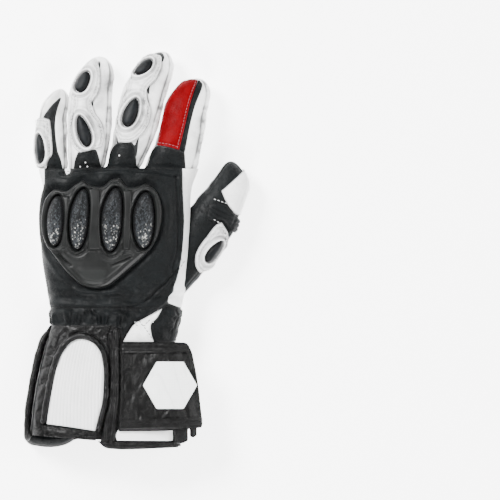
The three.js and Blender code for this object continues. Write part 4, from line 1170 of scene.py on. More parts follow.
def cloth(name, colour, deep, weave, sheen=0.3):
    """Knitted cloth: crossed yarns, a soft sheen and darker valleys."""
    material, graph, shader, where = new_material(name)
    yarn = graph.texture(
        "ShaderNodeTexWave", where, weave, {"wave_type": "BANDS", "bands_direction": "Y"},
        {"Distortion": 1.2, "Detail": 1.0, "Detail Scale": 2.0})
    fuzz = graph.mottle(where, weave * 3, 4.0)
    cloud = graph.mottle(where, 0.07, 3.0)
    # Painted shade: darker where a point stands low between the ribs or at the panel's edge.
    painted_valley_shade = 1 - graph.ramp(graph.attribute("ridge"), 0.0, 0.75)
    shade = graph.mix(painted_valley_shade * 0.62 + (1 - yarn) * 0.1 + graph.ramp(cloud, 0.4, 0.8) * 0.12,
                      colour, deep)
    finish_material(
        graph, shader, {"Sheen Weight": sheen, "Sheen Roughness": 0.5, "Specular IOR Level": 0.2},
        bump(graph, yarn * 0.6 + fuzz * 0.5, 0.16), Base_Color=shade, Roughness=fuzz * 0.15 + 0.8)
    return material


def film(name, colour, deep):
    """Welded reflective film with a fine honeycomb of cells."""
    material, graph, shader, where = new_material(name)
    cells = graph.cells(where, 0.55, 0.0, "DISTANCE_TO_EDGE")
    line = 1 - graph.ramp(cells, 0.02, 0.09)
    cloud = graph.mottle(where, 0.16, 4.0)
    rim = 1 - graph.ramp(graph.attribute("rim"), 0.0, 2.0)
    shade = graph.mix(
        line * 0.3 + graph.ramp(cloud, 0.5, 0.75) * 0.15 + rim * 0.2, colour, deep)
    finish_material(
        graph, shader, {"Specular IOR Level": 0.6, "Coat Roughness": 0.15},
        bump(graph, 0.5 - line * 0.4 + cloud * 0.2, 0.1), Base_Color=shade,
        Roughness=cloud * 0.2 + 0.25, Coat_Weight=0.5 - line * 0.3)
    return material


def thread(name, colour, deep):
    """Twisted sewing thread."""
    material, graph, shader, where = new_material(name)
    twist = graph.texture(
        "ShaderNodeTexWave", where, 2.2, {"wave_type": "BANDS", "bands_direction": "DIAGONAL"},
        {"Distortion": 0.6})
    patches = graph.texture("ShaderNodeTexNoise", where, 0.5)
    shade = graph.mix((1 - twist) * 0.5 + patches * 0.3, colour, deep)
    finish_material(
        graph, shader, {"Sheen Weight": 0.3 if colour[0] > 0.1 else 0.0, "Specular IOR Level": 0.1},
        bump(graph, twist, 0.1), Base_Color=shade, Roughness=patches * 0.2 + 0.55)
    return material


def painted_floor(name, colour):
    """Plain pale board with a trace of tooth."""
    material, graph, shader, where = new_material(name)
    tooth = graph.mottle(where, 0.4, 3.0)
    shade = graph.mix(tooth * 0.04, colour, shaded(colour, 0.9))
    finish_material(
        graph, shader,
        {"Specular IOR Level": 0.1, "Emission Color": (1, 1, 1, 1), "Emission Strength": 3.5},
        bump(graph, tooth, 0.02), Base_Color=shade, Roughness=tooth * 0.1 + 0.85)
    return material


# Settings

def length_property(name, description, default, low, high):
    """A length, given here in millimetres."""
    return FloatProperty(
        name=name, description=description, default=default * MM, min=low * MM, max=high * MM,
        precision=5, unit="LENGTH", subtype="DISTANCE")


def colour_property(name, description, default):
    return FloatVectorProperty(
        name=name, description=description, default=default, subtype="COLOR", size=3, min=0, max=1)


class GauntletSizes(bpy.types.PropertyGroup):
    """Sizes of the details."""

    stitch_pitch: length_property("Stitch pitch", "Distance between stitches", 3.0, 1.5, 6)
    stitch_radius: length_property("Thread radius", "Half the thread's thickness", 0.3, 0.1, 1)
    rib_pitch: length_property("Rib pitch", "Distance between ribs of the cuff cloth", 2.5, 1, 6)
    rib_height: length_property("Rib height", "How far a rib of the cuff cloth stands up", 0.55, 0, 2)
    pucker_depth: length_property("Pucker depth", "How deep gathered leather folds", 1.3, 0, 3)
    grain_size: length_property("Grain size", "Size of the leather's pebbles", 1.0, 0.3, 3)
    eyelet_radius: length_property("Vent radius", "Half the width of a knuckle vent", 0.6, 0.3, 2)


class GauntletColours(bpy.types.PropertyGroup):
    """Colours of the finishes."""

    white: colour_property("White leather", "Main colour of the hand and fingers", (0.83, 0.83, 0.825))
    black: colour_property("Back leather", "Black leather of the hand", (0.0022, 0.003, 0.0033))
    cuff: colour_property("Cuff leather", "Black leather of the cuff and strap", (0.0018,) * 3)
    red: colour_property("Red leather", "Panel along the index finger", (0.11, 0.0003, 0.002))
    guard: colour_property("Moulding", "Knuckle guard", (0.0031, 0.0034, 0.0033))
    # The weave's light colour is the colour of painted glints on the inserts.
    insert: colour_property("Weave", "Bright threads of the knuckle inserts", (0.4, 0.4, 0.38))
    pad: colour_property("Finger pads", "Rubber pads of the fingers", (0.0022, 0.003, 0.0038))
    cloth: colour_property("Stretch cloth", "Ribbed cloth of the cuff", (0.93, 0.93, 0.93))
    patch: colour_property("Patch", "Reflective patch on the closure strap", (0.9, 0.92, 0.91))


def sizes():
    return bpy.context.scene.gauntlet_sizes


def shaded(colour, share):
    return tuple(c * share for c in colour)


def white_hide(name, colours, grain):
    # The grey (0.1) is painted shade for the grooves, creases and edges of the white leather.
    leather(name, colours.white, shaded(colours.white, 0.86), (0.36, 0.55), grain * 0.8, 0.8,
            painted_shade_colour=(0.1, 0.1, 0.1), dyed=colours.black)


def back_hide(name, colours, grain):
    leather(name, colours.black, shaded(colours.black, 0.45), (0.36, 0.6), grain, 1.0,
            worn=(0.006, 0.006, 0.006), settings={"Specular IOR Level": 0.1})


def cuff_hide(name, colours, grain):
    leather(name, colours.cuff, shaded(colours.cuff, 0.5), (0.3, 0.46), grain, 1.3,
            worn=(0.003, 0.003, 0.003), settings={"Specular IOR Level": 0.15})


def red_hide(name, colours, grain):
    leather(name, colours.red, shaded(colours.red, 0.72), (0.25, 0.45), grain, 0.6,
            worn=(0.13, 0.004, 0.008), settings={"Specular IOR Level": 0.02})


FINISHES = {
    "white_hide": ("white_leather", white_hide),
    "back_hide": ("black_leather", back_hide),
    "cuff_hide": ("black_leather", cuff_hide),
    "red_hide": ("red_leather", red_hide),
    "guard_moulding": ("moulded_guard", lambda name, colours, grain: moulded(
        name, colours.guard, shaded(colours.guard, 1.9))),
    "insert_weave": ("woven_insert", lambda name, colours, grain: woven(
        name, (0.004, 0.0045, 0.005), colours.insert)),
    "pad_rubber": ("dark_pad", lambda name, colours, grain: rubber(
        name, colours.pad, shaded(colours.pad, 1.4))),
    "cuff_knit": ("ribbed_cloth", lambda name, colours, grain: cloth(
        name, colours.cloth, shaded(colours.cloth, 0.42), 1.1)),
    "patch_pile": ("loop_pile", lambda name, colours, grain: cloth(
        name, (0.9, 0.9, 0.89), (0.6, 0.6, 0.6), 0.8, 0.5)),
    "patch_film": ("reflective", lambda name, colours, grain: film(
        name, colours.patch, shaded(colours.patch, 0.6))),
}


def finish_of(name):
    """A finish's material, made when it is first asked for, and its slot."""
    slot, make = FINISHES[name]
    if name not in bpy.data.materials:
        make(name, bpy.context.scene.gauntlet_colours, sizes().grain_size / MM)
    return bpy.data.materials[name], slot


def thread_of(name):
    made = bpy.data.materials.get(name)
    tones = {
        "black_thread": ((0.003, 0.003, 0.003), (0.001, 0.001, 0.001)),
        "white_thread": ((0.75, 0.75, 0.74), (0.5, 0.5, 0.5)),
        "grey_thread": ((0.009, 0.009, 0.009), (0.003, 0.003, 0.003)),
        "rose_thread": ((0.2, 0.05, 0.06), (0.12, 0.004, 0.008)),
    }
    return made or thread(name, *tones[name])


# Geometry Nodes

def tree_with(name, *sizes_in):
    """A modifier's tree with its geometry and named size inputs."""
    tree = bpy.data.node_groups.new(name, "GeometryNodeTree")
    tree.interface.new_socket("Geometry", in_out="INPUT", socket_type="NodeSocketGeometry")
    for label in sizes_in:
        tree.interface.new_socket(label, in_out="INPUT", socket_type="NodeSocketFloat")
    tree.interface.new_socket("Geometry", in_out="OUTPUT", socket_type="NodeSocketGeometry")
    graph = Graph(tree)
    source = tree.nodes.new("NodeGroupInput")
    return tree, graph, {s.name: Value(graph, s) for s in source.outputs if s.name}


def named_attribute(graph, kind, name):
    return graph.node("GeometryNodeInputNamedAttribute", {"data_type": kind}, {"Name": name})


def close_tree(tree, graph, geometry, material):
    """Ends a tree with realized instances that carry the material."""
    real = graph.node("GeometryNodeRealizeInstances", None, {0: geometry})
    painted = graph.node("GeometryNodeSetMaterial", None, {"Geometry": real, "Material": material})
    result = tree.nodes.new("NodeGroupOutput")
    tree.links.new(painted.socket, result.inputs[0])
    return tree


def stitch_tree(material):
    """Threads laid end to end along each line of a mesh."""
    tree, graph, given = tree_with("Stitch rows", "Pitch", "Radius")
    line = graph.node("GeometryNodeMeshToCurve", None, {"Mesh": given["Geometry"]})
    spots = graph.node(
        "GeometryNodeResampleCurve", {"mode": "LENGTH"}, {"Curve": line, "Length": given["Pitch"]})
    bead = graph.node("GeometryNodeMeshUVSphere", None, {"Segments": 8, "Rings": 6, "Radius": 1.0})
    shape = graph.node(
        "ShaderNodeCombineXYZ", None,
        {"X": given["Pitch"] * 0.42, "Y": given["Radius"], "Z": given["Radius"] * 0.8})
    long_bead = graph.node("GeometryNodeTransform", None, {"Geometry": bead, "Scale": shape})
    tangent = graph.node("GeometryNodeInputTangent")
    ahead = graph.node("FunctionNodeAlignEulerToVector", {"axis": "X"}, {"Vector": tangent})
    out = named_attribute(graph, "FLOAT_VECTOR", "out")
    turned = graph.node(
        "FunctionNodeAlignEulerToVector", {"axis": "Z", "pivot_axis": "X"},
        {"Rotation": ahead, "Vector": out})
    rows = graph.node(
        "GeometryNodeInstanceOnPoints", None,
        {"Points": spots, "Instance": long_bead, "Rotation": turned})
    smooth = graph.node("GeometryNodeSetShadeSmooth", None, {"Geometry": rows})
    return close_tree(tree, graph, smooth, material)


def eyelet_tree(material):
    """A flat-topped dot on every point of a mesh, facing out."""
    tree, graph, given = tree_with("Vents", "Radius")
    dot = graph.node("GeometryNodeMeshUVSphere", None, {"Segments": 16, "Rings": 6, "Radius": 1.0})
    shape = graph.node(
        "ShaderNodeCombineXYZ", None,
        {"X": given["Radius"], "Y": given["Radius"], "Z": given["Radius"] * 0.4})
    flat_dot = graph.node("GeometryNodeTransform", None, {"Geometry": dot, "Scale": shape})
    out = named_attribute(graph, "FLOAT_VECTOR", "out")
    facing = graph.node("FunctionNodeAlignEulerToVector", {"axis": "Z"}, {"Vector": out})
    dots = graph.node(
        "GeometryNodeInstanceOnPoints", None,
        {"Points": given["Geometry"], "Instance": flat_dot, "Rotation": facing})
    smooth = graph.node("GeometryNodeSetShadeSmooth", None, {"Geometry": dots})
    return close_tree(tree, graph, smooth, material)


def rib_tree(material):
    """Raises even ribs across a cloth, and stores how high each point stands."""
    tree, graph, given = tree_with("Cloth ribs", "Pitch", "Height")
    across = named_attribute(graph, "FLOAT", "girth")
    lift = named_attribute(graph, "FLOAT", "lift")
    out = named_attribute(graph, "FLOAT_VECTOR", "out")
    ridge = graph.maths("ABSOLUTE", graph.maths("SINE", across / given["Pitch"] * math.pi))
    shaped = (ridge ** 0.7) * lift
    move = graph.node(
        "ShaderNodeVectorMath", {"operation": "SCALE"}, {0: out, "Scale": shaped * given["Height"]})
    raised = graph.node("GeometryNodeSetPosition", None, {"Geometry": given["Geometry"], "Offset": move})
    noted = graph.node(
        "GeometryNodeStoreNamedAttribute", {"data_type": "FLOAT", "domain": "POINT"},
        {"Geometry": raised, "Name": "ridge", "Value": shaped})
    return close_tree(tree, graph, noted, material)


def applied(piece, tree, values):
    """Replaces a piece's mesh by what a tree makes of it."""
    modifier = piece.modifiers.new("make", "NODES")
    modifier.node_group = tree
    for item in tree.interface.items_tree:
        if item.in_out == "INPUT" and item.name in values:
            modifier[item.identifier] = values[item.name]
    bpy.context.view_layer.update()
    made = bpy.data.meshes.new_from_object(
        piece.evaluated_get(bpy.context.evaluated_depsgraph_get()))
    piece.modifiers.clear()
    piece.data = made
    return piece


def store_outward(mesh, outs):
    mesh.attributes.new("out", "FLOAT_VECTOR", "POINT").data.foreach_set(
        "vector", np.array(outs, np.float32).ravel())


def guides(name, rows, joined):
    """Bare points on forms, each with the direction that faces out, joined row by row or single."""
    points, outs, edges = [], [], []
    for form, line, offset in rows:
        at, out = on_form(form, line, offset)
        if joined:
            edges += [(len(points) + i, len(points) + i + 1) for i in range(len(at) - 1)]
        points += (at * MM + np.array(WRIST)).tolist()
        outs += out.tolist()
    mesh = bpy.data.meshes.new(name)
    mesh.from_pydata(points, edges, [])
    store_outward(mesh, outs)
    return placed(name, mesh)


def stitched(name, rows, thread_name, slot, pitch=None):
    """One piece that holds the stitches of several seams. A row is a form, a line and an offset."""
    rows = [(form, spaced(line, 1.0, False), offset) for form, line, offset in rows]
    piece, size = guides(name, rows, True), sizes()
    applied(piece, stitch_tree(thread_of(thread_name)),
            {"Pitch": pitch * MM if pitch else size.stitch_pitch, "Radius": size.stitch_radius})
    return settle(piece, slot)


# Pieces

LATER = {}  # lines that a later step sews along


def black():
    return finish_of("back_hide")


def cuff_black():
    return finish_of("cuff_hide")


def white():
    return finish_of("white_hide")


def stitch_groove(edge, inset, depth_mm=0.28):
    return -depth_mm * bell(edge - inset, 0.7)


def dark_under(form, outlines):
    """How far inside the black panels a point of the shell below lies."""
    loops = [trace(form, outline, side=ROUND_BACK_SIDE) for outline in outlines]

    def measured(flat):
        return np.max([depth(loop, flat) for loop in loops], axis=0) + 1.2

    return measured


def slit_lines(name, form):
    """Outlines of the dark openings on a finger."""
    return [trace(form, slit, step=0.4, height=GAP + PADDED, corner=80) for slit in SLITS.get(name, [])]


def shell_marks(form, points, outlines):
    """Dye of a shell's points from where they lie under the black panels."""
    section, _ = form.section(points[:, 1])
    across = (points[:, 0] - section["centre"]) / section["half"]
    up = (points[:, 2] - section["middle"]) / section["rise"]
    angle = np.degrees(np.arctan2(up, across))
    angle = np.where(angle < -90, angle + 360, angle)
    flat = np.stack([form.girth_at(angle), form.reach_at(points[:, 1])], -1)
    return dark_under(form, outlines)(flat)


def build_shells():
    """Leather of the hand, cuff, fingers and thumb."""
    material, slot = white()
    cuts = [solid(*tube(body, -30, HAND_LENGTH - WALL, -WALL, 96, 4)[:2])]
    for form in fingers.values():
        cuts.append(solid(*tube(form, form.y[0], form.length, -WALL, 40, 2.5)[:2]))
    thumb_hollow = tube(thumb, thumb.y[0], thumb.length, -WALL, 48, 2)[:2]
    cuts.append(solid(*thumb_hollow))
    outer = solid(*tube(body, GAP / 2, HAND_LENGTH + 0.9 * GAP, 0, 200, 1.5)[:2])
    points, faces = cut_away(outer, cuts)
    dye = shell_marks(body, points, [BACK, WRIST_BAND, WRIST_TAB, *KNUCKLE_SEAM, WRIST_SEAM])
    stand_in("hand_shell", "leather", points, faces, material, slot, 40, {"dye": dye})
    stand_in("cuff_shell", "leather", *cuff_wall(180, 1.5), *cuff_black(), 40)

    for name, form in fingers.items():
        points, faces, data = stall(form, GAP, 110, 0.75)
        over = [[(x, y - 0.05 if y < 0.03 else y) for x, y in KNUCKLE_TABS[name]]]
        over += {"little": [LITTLE_BACK], "index": [INDEX_STRIP]}.get(name, [])
        flat = np.stack([form.girth_at(data[:, 1]), form.reach_at(data[:, 0])], -1)
        dye = dark_under(form, over)(flat)
        # Painted shade: the wall is painted black inside the openings beside the armour.
        for slit in slit_lines(name, form):
            dye = np.maximum(dye, depth(slit, flat) + 0.1)
        # Painted shade: the finger's wall is painted darker in the valleys of its relief.
        soil = np.clip(0.05 - 1.4 * finger_relief(form, data[:, 0], data[:, 1]), 0, 0.9)
        stand_in(f"{name}_stall", "leather", points, faces, material, slot, None,
                 {"dye": dye, "soil": soil})

    outer = solid(*tube(thumb, thumb.y[0], thumb.length, 0, 96, 1.3)[:2])
    palm = solid(*tube(body, GAP / 2, HAND_LENGTH, GAP, 160, 2)[:2])
    points, faces = cut_away(outer, [solid(*thumb_hollow), palm])
    stand_in("thumb_stall", "leather", points, faces, *black(), 40)


def build_hand_panels():
    """Back, wrist and palm panels."""
    back = trace(body, BACK, side=ROUND_BACK_SIDE)
    guard = trace(body, GUARD, height=LAYER + GUARD_THICKNESS)
    seams = [
        trace(body, [(-0.335, 0.965), (-0.22, 0.975), (-0.05, 0.995), (0.1, 0.99), (0.3, 0.975),
                     (0.44, 0.95)], closed=False),
        trace(body, [(0.47, 0.4), (0.4, 0.3), (0.3, 0.2), (0.2, 0.12), (0.11, 0.095)], closed=False),
        trace(body, [(0.43, 0.95), (0.44, 0.8), (0.445, 0.6), (0.44, 0.46), (0.405, 0.33)],
              closed=False),
    ]

    def detail(field):
        around = field.depth(guard)
        swell = 1.1 * bell(around + 5.5, 3.2) * (around < 0)
        tucked = -0.5 * bell(around, 1.6)
        ridges = sum(-0.9 * bell(field.to(seam), 0.8) + 0.6 * bell(field.to(seam) - 2.0, 1.2)
                     for seam in seams)
        folds = -0.5 * creases(field.flat * (0.6, 1), 13, 0.13, 4) * smoothstep(-field.y, -50, -14)
        return swell + tucked + ridges + folds + stitch_groove(field.edge, 2.0) * (
            field.y < BACK_GROOVE_END)

    sheet_piece("back_panel", body, back, LEATHER, black(), details=detail)
    LATER["back"], LATER["back_seams"] = back, seams

    def gathers(field):
        fold = noise(np.stack([field.girth, field.reach * 0.45], -1), 5.5, 40)
        fade = smoothstep(field.edge, 0.3, 2.5)
        return sizes().pucker_depth / MM * (1.5 - np.abs(fold) * 3) * fade

    sheet_piece("wrist_band", body, trace(body, WRIST_BAND, side=ROUND_BACK_SIDE), LEATHER, black(),
                step=0.8, details=gathers)

    sheet_piece("wrist_gusset", body, trace(body, WRIST_GUSSET), LEATHER, white(),
                details=lambda field: 0.35 * rough(field.flat, 5, 50))

    tab = trace(body, WRIST_TAB, side=ROUND_BACK_SIDE)

    def crumple(field):
        lumps = 1.5 * rough(field.flat, 8, 60) - 0.9 * creases(field.flat, 9, 0.16, 61)
        return lumps * smoothstep(field.edge, 0.5, 4) + stitch_groove(field.edge, 2.0)

    sheet_piece("wrist_tab", body, tab, LEATHER, black(), details=crumple)
    LATER["tab"] = tab

    left, right = body.girth_at(PALM_SIDE[0]), body.girth_at(PALM_SIDE[1])
    low, high = body.span(PALM_REACH)
    loop = np.array([(left, low), (right, low), (right, high), (left, high)])
    sheet_piece("palm_panel", body, spaced(loop, 1.5, True), LEATHER, black(), step=2.0)


def build_knuckle_guard():
    """Moulded frame over the knuckles."""
    top = LAYER + GUARD_THICKNESS
    guard = trace(body, GUARD, step=0.7, height=top)
    low = LAYER + GAP
    windows = []
    for across, along, length, width, tilt in INSERTS.values():
        windows.append(seed_outline(
            body, across, along, length * HAND_LENGTH, width * PALM_WIDTH, tilt, 0, 0.25))
    ribs = [trace(body, rib, corner=40, step=0.8, height=top) for rib in GUARD_RIBS]
    chin = trace(body, GUARD_CHIN, corner=40, step=0.8, height=top)
    brow = trace(body, GUARD_BROW, closed=False, corner=40, step=0.8, height=top)
    slits = [trace(body, slit, closed=False, step=0.8, height=top) for slit in GUARD_SLITS]

    def detail(field):
        hole = -np.max([field.depth(window) for window in windows], axis=0)
        rib = np.max([field.depth(loop) for loop in ribs], axis=0)
        under = np.interp(field.girth, *brow[np.argsort(brow[:, 0])].T) - field.reach
        above = 1 - smoothstep(under, -0.8, 0.6)
        rim = 1.2 * bell(field.edge - 1.7, 1.0) - 0.9 * bell(field.edge - 3.7, 0.8) + 0.5 * bell(
            field.edge - 5.4, 1.0)
        collar = (1.0 * bell(hole - 1.9, 1.1) - 0.8 * bell(hole - 4.2, 0.8)) * (0.25 + 0.75 * above)
        raised = GUARD_RIB * smoothstep(rib, -1.2, 0.6) * above
        face = 0.5 * smoothstep(field.depth(chin), -2.6, 2.4)
        # Painted light: marks the chin facet to be painted lighter.
        field.soil = smoothstep(field.depth(chin), -0.5, 0.6)
        ledge = 1.0 * (above - 1) * smoothstep(14 - under, 0, 14)
        slit = sum(-1.5 * bell(field.to(line), 0.7) for line in slits)
        return np.maximum(np.maximum(rim, collar), raised) + face + ledge + slit

    sheet_piece("knuckle_guard", body, guard, GUARD_THICKNESS - 0.6, finish_of("guard_moulding"),
                "moulding", low, step=0.75, without=windows, edge_round=1.6, details=detail,
                smooth_angle=48, side_share=0.35)


def build_knuckle_inserts():
    """Domed woven inserts."""
    for name, (across, along, length, width, tilt) in INSERTS.items():
        outline = seed_outline(
            body, across, along, length * HAND_LENGTH, width * PALM_WIDTH, tilt, 0, -0.1, 0.7)
        build_dome(f"{name}_knuckle_insert", "carbon", body, outline, LAYER + GAP, INSERT_HEIGHT,
                   "insert_weave", width * PALM_WIDTH / 2)


def build_dome(node, ending, form, outline, low, height, finish, half_width):
    """A domed pad that fills its window."""
    flat, faces, border, edge = cut_sheet(outline, 0.75)
    field = Field(form, flat, edge)
    rise = 0.6 + (height - 0.6) * rounded(edge, half_width)
    top = form.surface(field.y, field.angle, low + rise)
    under = form.surface(field.y, field.angle, low)
    # Share of the way towards the lower end, by which the weave paints its glints.
    lowness = 1 - (field.reach - field.reach.min()) / np.ptp(field.reach)
    stand_in(node, ending, *two_skins(top, under, faces, border), *finish_of(finish), None,
             {"rim": on_top(edge), "low": np.tile(lowness, 2)})


def armour_detail(windows, slits, slim):
    """Padded swell, double lips around the windows, sewn channels and dark openings."""
    def detail(field):
        hole = -np.max([field.depth(window) for window in windows], axis=0)
        lip = 1.2 * bell(hole - 1.3, 1.0) - 0.8 * bell(hole - 3.2, 0.7) + 0.5 * bell(hole - 4.7, 0.8)
        swell = 0.8 * smoothstep(field.edge, 1.5, 6) + 0.35 * rough(field.flat, 9, 70)
        channel = -0.6 * bell(field.edge - 2.1, 0.5) - 0.45 * bell(field.edge - 4.0, 0.5)
        folds = -0.4 * creases(field.flat * (0.5, 1), 9, 0.1, 72) * smoothstep(hole, 3, 6)
        # Painted shade: darker at the windows' edges, in the grooves between the lips and in the sewn
        # channels, along crease lines and in the swell's hollows.
        field.soil = (0.95 * (1 - smoothstep(hole, 0, 0.6)) + 0.5 * bell(hole - 3.2, 0.75)
                      + 0.2 * bell(hole - 6, 0.8) + 0.5 * bell(field.edge - 2.1, 0.5)
                      + 0.3 * bell(field.edge - 4.0, 0.5) - 0.5 * folds
                      + 0.3 * smoothstep(rough(field.flat, 9, 70), 0.1, -0.6))
        thin = -slim * (1 - bell(hole, 9))
        sunk = sum(-1.1 * smoothstep(field.depth(slit), -0.2, 0.4) for slit in slits)
        return lip + swell + channel + folds + thin + sunk

    return detail


def build_armour(finger, form, outline, under, slim):
    """A finger's padded armour, cut to leave another panel free, and the pads in its windows."""
    name = f"{finger}_armour"
    loop = trace(form, outline, corner=60, height=GAP + PADDED)
    windows = []
    for pad, (across, along, length, width, tilt, pointed) in PADS[finger].items():
        shape = (form, across, along, length * form.length, width * form.width, tilt, pointed)
        windows.append(seed_outline(*shape, 0.35))
        build_dome(pad, "rubber", form, seed_outline(*shape, -0.05), GAP, PAD_HEIGHT - 0.3, "pad_rubber",
                   width * form.width / 2.4)
    clear = [trace(form, under, corner=60)]
    slits = slit_lines(finger, form)

    # Painted shade: the armour is painted black inside its openings.
    def dyed(field):
        return np.max([np.full(len(field.flat), -9.0)] + [field.depth(slit) for slit in slits], axis=0)

    piece = sheet_piece(
        name, form, loop, PADDED, white(), without=windows + clear, step=0.8,
        lines=[np.vstack([slit, slit[:1]]) for slit in slits], edge_round=2.0,
        details=armour_detail(windows, slits, slim), dye=dyed, side_share=0.4)
    LATER[name] = loop


def build_finger_armour():
    """Padded armour and its rubber pads."""
    for name, form, outline, under, slim in (
            ("ring", ring, RING_ARMOUR, KNUCKLE_TABS["ring"], 0.0),
            ("middle", middle, MIDDLE_ARMOUR, KNUCKLE_TABS["middle"], 0.0),
            ("little", little, LITTLE_ARMOUR, KNUCKLE_TABS["little"], 1.0),
            ("thumb", thumb, THUMB_ARMOUR, THUMB_STRAP, 0.0)):
        build_armour(name, form, outline, under, slim)


def build_finger_panels():
    """Sewn panels of the fingers and thumb."""
    def plain(field):
        return 0.18 * rough(field.flat, 6, 80) + stitch_groove(field.edge, 1.7, 0.3)

    for name, form in fingers.items():
        sheet_piece(f"{name}_knuckle_tab", form, trace(form, KNUCKLE_TABS[name]), LEATHER, black(),
                    details=plain)
    for name, form, outline, finish in (
            ("little_back", little, LITTLE_BACK, black()),
            ("index_panel", index, INDEX_PANEL, finish_of("red_hide")),
            ("index_edge_strip", index, INDEX_STRIP, black()),
            ("thumb_tip_panel", thumb, THUMB_TIP, white())):
        loop = trace(form, outline)
        clear = [trace(form, THUMB_STRAP)] if name == "thumb_tip_panel" else []
        sheet_piece(name, form, loop, LEATHER, finish, without=clear, details=plain)
        LATER[name] = loop
    loop = trace(thumb, THUMB_STRAP)

    def ridged(field):
        across = np.abs(np.sin(field.reach * math.pi / 3.1))
        return 0.7 * across * smoothstep(field.edge, 0.4, 2.2)

    sheet_piece("thumb_strap", thumb, loop, PADDED - 0.5, black(), step=0.7, details=ridged)


def build_vents():
    """Ringed holes of the knuckle tabs."""
    for label, vents, thread_name, slot in (
            ("knuckle_vents", BRIGHT_VENTS, "white_thread", "white_leather"),
            ("dark_vents", DARK_VENTS, "black_thread", "black_leather")):
        rows = []
        for name, places in vents.items():
            form = fingers[name]
            shares = np.array(places)
            y = form.span(shares[:, 1])
            angle, _ = form.angle_at(y, shares[:, 0] * form.width, LAYER)
            rows.append((form, np.stack([form.girth_at(angle), form.reach_at(y)], -1), LAYER))
        piece = guides(label, rows, False)
        applied(piece, eyelet_tree(thread_of(thread_name)), {"Radius": sizes().eyelet_radius})
        settle(piece, slot)


ROLL_SIDES = 16


def left_of(line, shift):
    """An open line moved to its left."""
    along = np.gradient(line, axis=0)
    left = np.stack([-along[:, 1], along[:, 0]], -1)
    return line + shift * left / np.linalg.norm(left, axis=1, keepdims=True)


def roll_lumps(count, step, reach, size, seed):
    """Noise around and along a roll, from one ring of points to the next."""
    turns = np.linspace(0, 2 * math.pi, ROLL_SIDES, endpoint=False)
    run = np.arange(count)[:, None] * step
    around = reach * np.cos(turns)[None], reach * np.sin(turns)[None]
    where = np.stack(np.broadcast_arrays(run, *around), -1).reshape(-1, 3)
    return noise(where * (1, 0.5, 0.5), size, seed).reshape(count, ROLL_SIDES)


def build_cuff():
    """Leather panels, rolls and binding of the cuff."""
    seat = PIPING_RADIUS + GAP
    arch = trace(body, ARCH, closed=False, corner=80)
    outer_arch = left_of(arch, 2 * seat)
    bottom = outer_arch.min(1).min() - 40
    opening = np.vstack([outer_arch, [(outer_arch[-1, 0], bottom), (outer_arch[0, 0], bottom)]])
    loop = trace(body, CUFF_FRONT, side=CUFF_FRONT_SIDE)

    def wrinkled(field):
        near = bell(np.abs(to_line(outer_arch, field.flat) - 2), 6)
        across = noise(field.flat * (0.5, 1), 5.5, 90)
        return (1.1 * rough(field.flat, 7, 91) - 1.0 * creases(field.flat, 10, 0.15, 92)
                + 0.9 * across * near) * smoothstep(field.edge, 0.3, 3)

    sheet_piece("cuff_front", body, loop, LEATHER, cuff_black(), without=[opening], details=wrinkled)

    line = spaced(left_of(arch, seat), 0.7, False)
    at, out = on_form(body, line, GAP + PIPING_RADIUS)
    pucker = roll_lumps(len(line), 0.7, 2.5, 2.3, 95)
    made = sweep(at, out, (PIPING_RADIUS + 0.1) * (1 + 0.26 * pucker), ROLL_SIDES)
    stand_in("arch_piping", "leather", *made, *cuff_black())

    side = np.array(SIDE_ROLL, float)
    flat = smooth_line(np.stack([body.girth_at(side[:, 0]), body.span(side[:, 1])], -1), False, 80)
    line = spaced(flat, 0.9, False)
    grow = 0.4 + 0.6 * smoothstep(np.arange(len(line)) * 0.9, 0, 14)
    at, out = on_form(body, line, 2 * GAP + SIDE_ROLL_RADIUS * grow)
    lumps = roll_lumps(len(line), 0.9, 3, 4.5, 96)
    made = sweep(at, out, SIDE_ROLL_RADIUS * grow[:, None] * (1 + 0.16 * lumps), ROLL_SIDES)
    stand_in("cuff_side_roll", "leather", *made, *cuff_black())

    band = trace(body, SEAM_BAND)
    rolls = [trace(body, shares, closed=False) for shares in SEAM_ROLL_LINES]

    def rolled(field):
        up = [np.sqrt(np.maximum(1 - (field.to(roll) / 1.9) ** 2, 0)) for roll in rolls]
        wobble = 0.25 * noise(field.flat * (0.4, 1), 5, 98)
        return (STRAP_RIB + wobble) * np.max(up, axis=0)

    sheet_piece("cuff_seam_band", body, band, LEATHER, cuff_black(), step=0.7, details=rolled)
    LATER["seam_middle"] = trace(
        body, [(0.022, -0.11), (0.024, -0.3), (0.023, -0.6), (0.007, -0.8), (-0.02, -0.93)],
        closed=False)

    hem = trace(body, HEM)
    sheet_piece("cuff_hem", body, hem, PADDED, cuff_black(), edge_round=2.2,
                details=lambda f: 0.3 * noise(f.flat, 4, 99) + stitch_groove(f.edge, 1.7, 0.6))
    LATER["hem"] = hem
    build_cuff_palm()
    build_lobe()
    sheet_piece("mouth_binding", body, trace(body, MOUTH_BINDING, height=GAP + BINDING), BINDING,
                cuff_black(),
                details=lambda f: 0.5 * smoothstep(f.edge, 0, 2.2) + 0.2 * noise(f.flat, 4, 102))
    sheet_piece("loop_patch", body, trace(body, LOOP_PATCH, height=GAP + LOOP_PILE), LOOP_PILE,
                finish_of("patch_pile"), "pile", details=lambda f: 0.2 * noise(f.flat, 1.1, 101))
    LATER["mouth_binding"] = trace(body, MOUTH_BINDING)


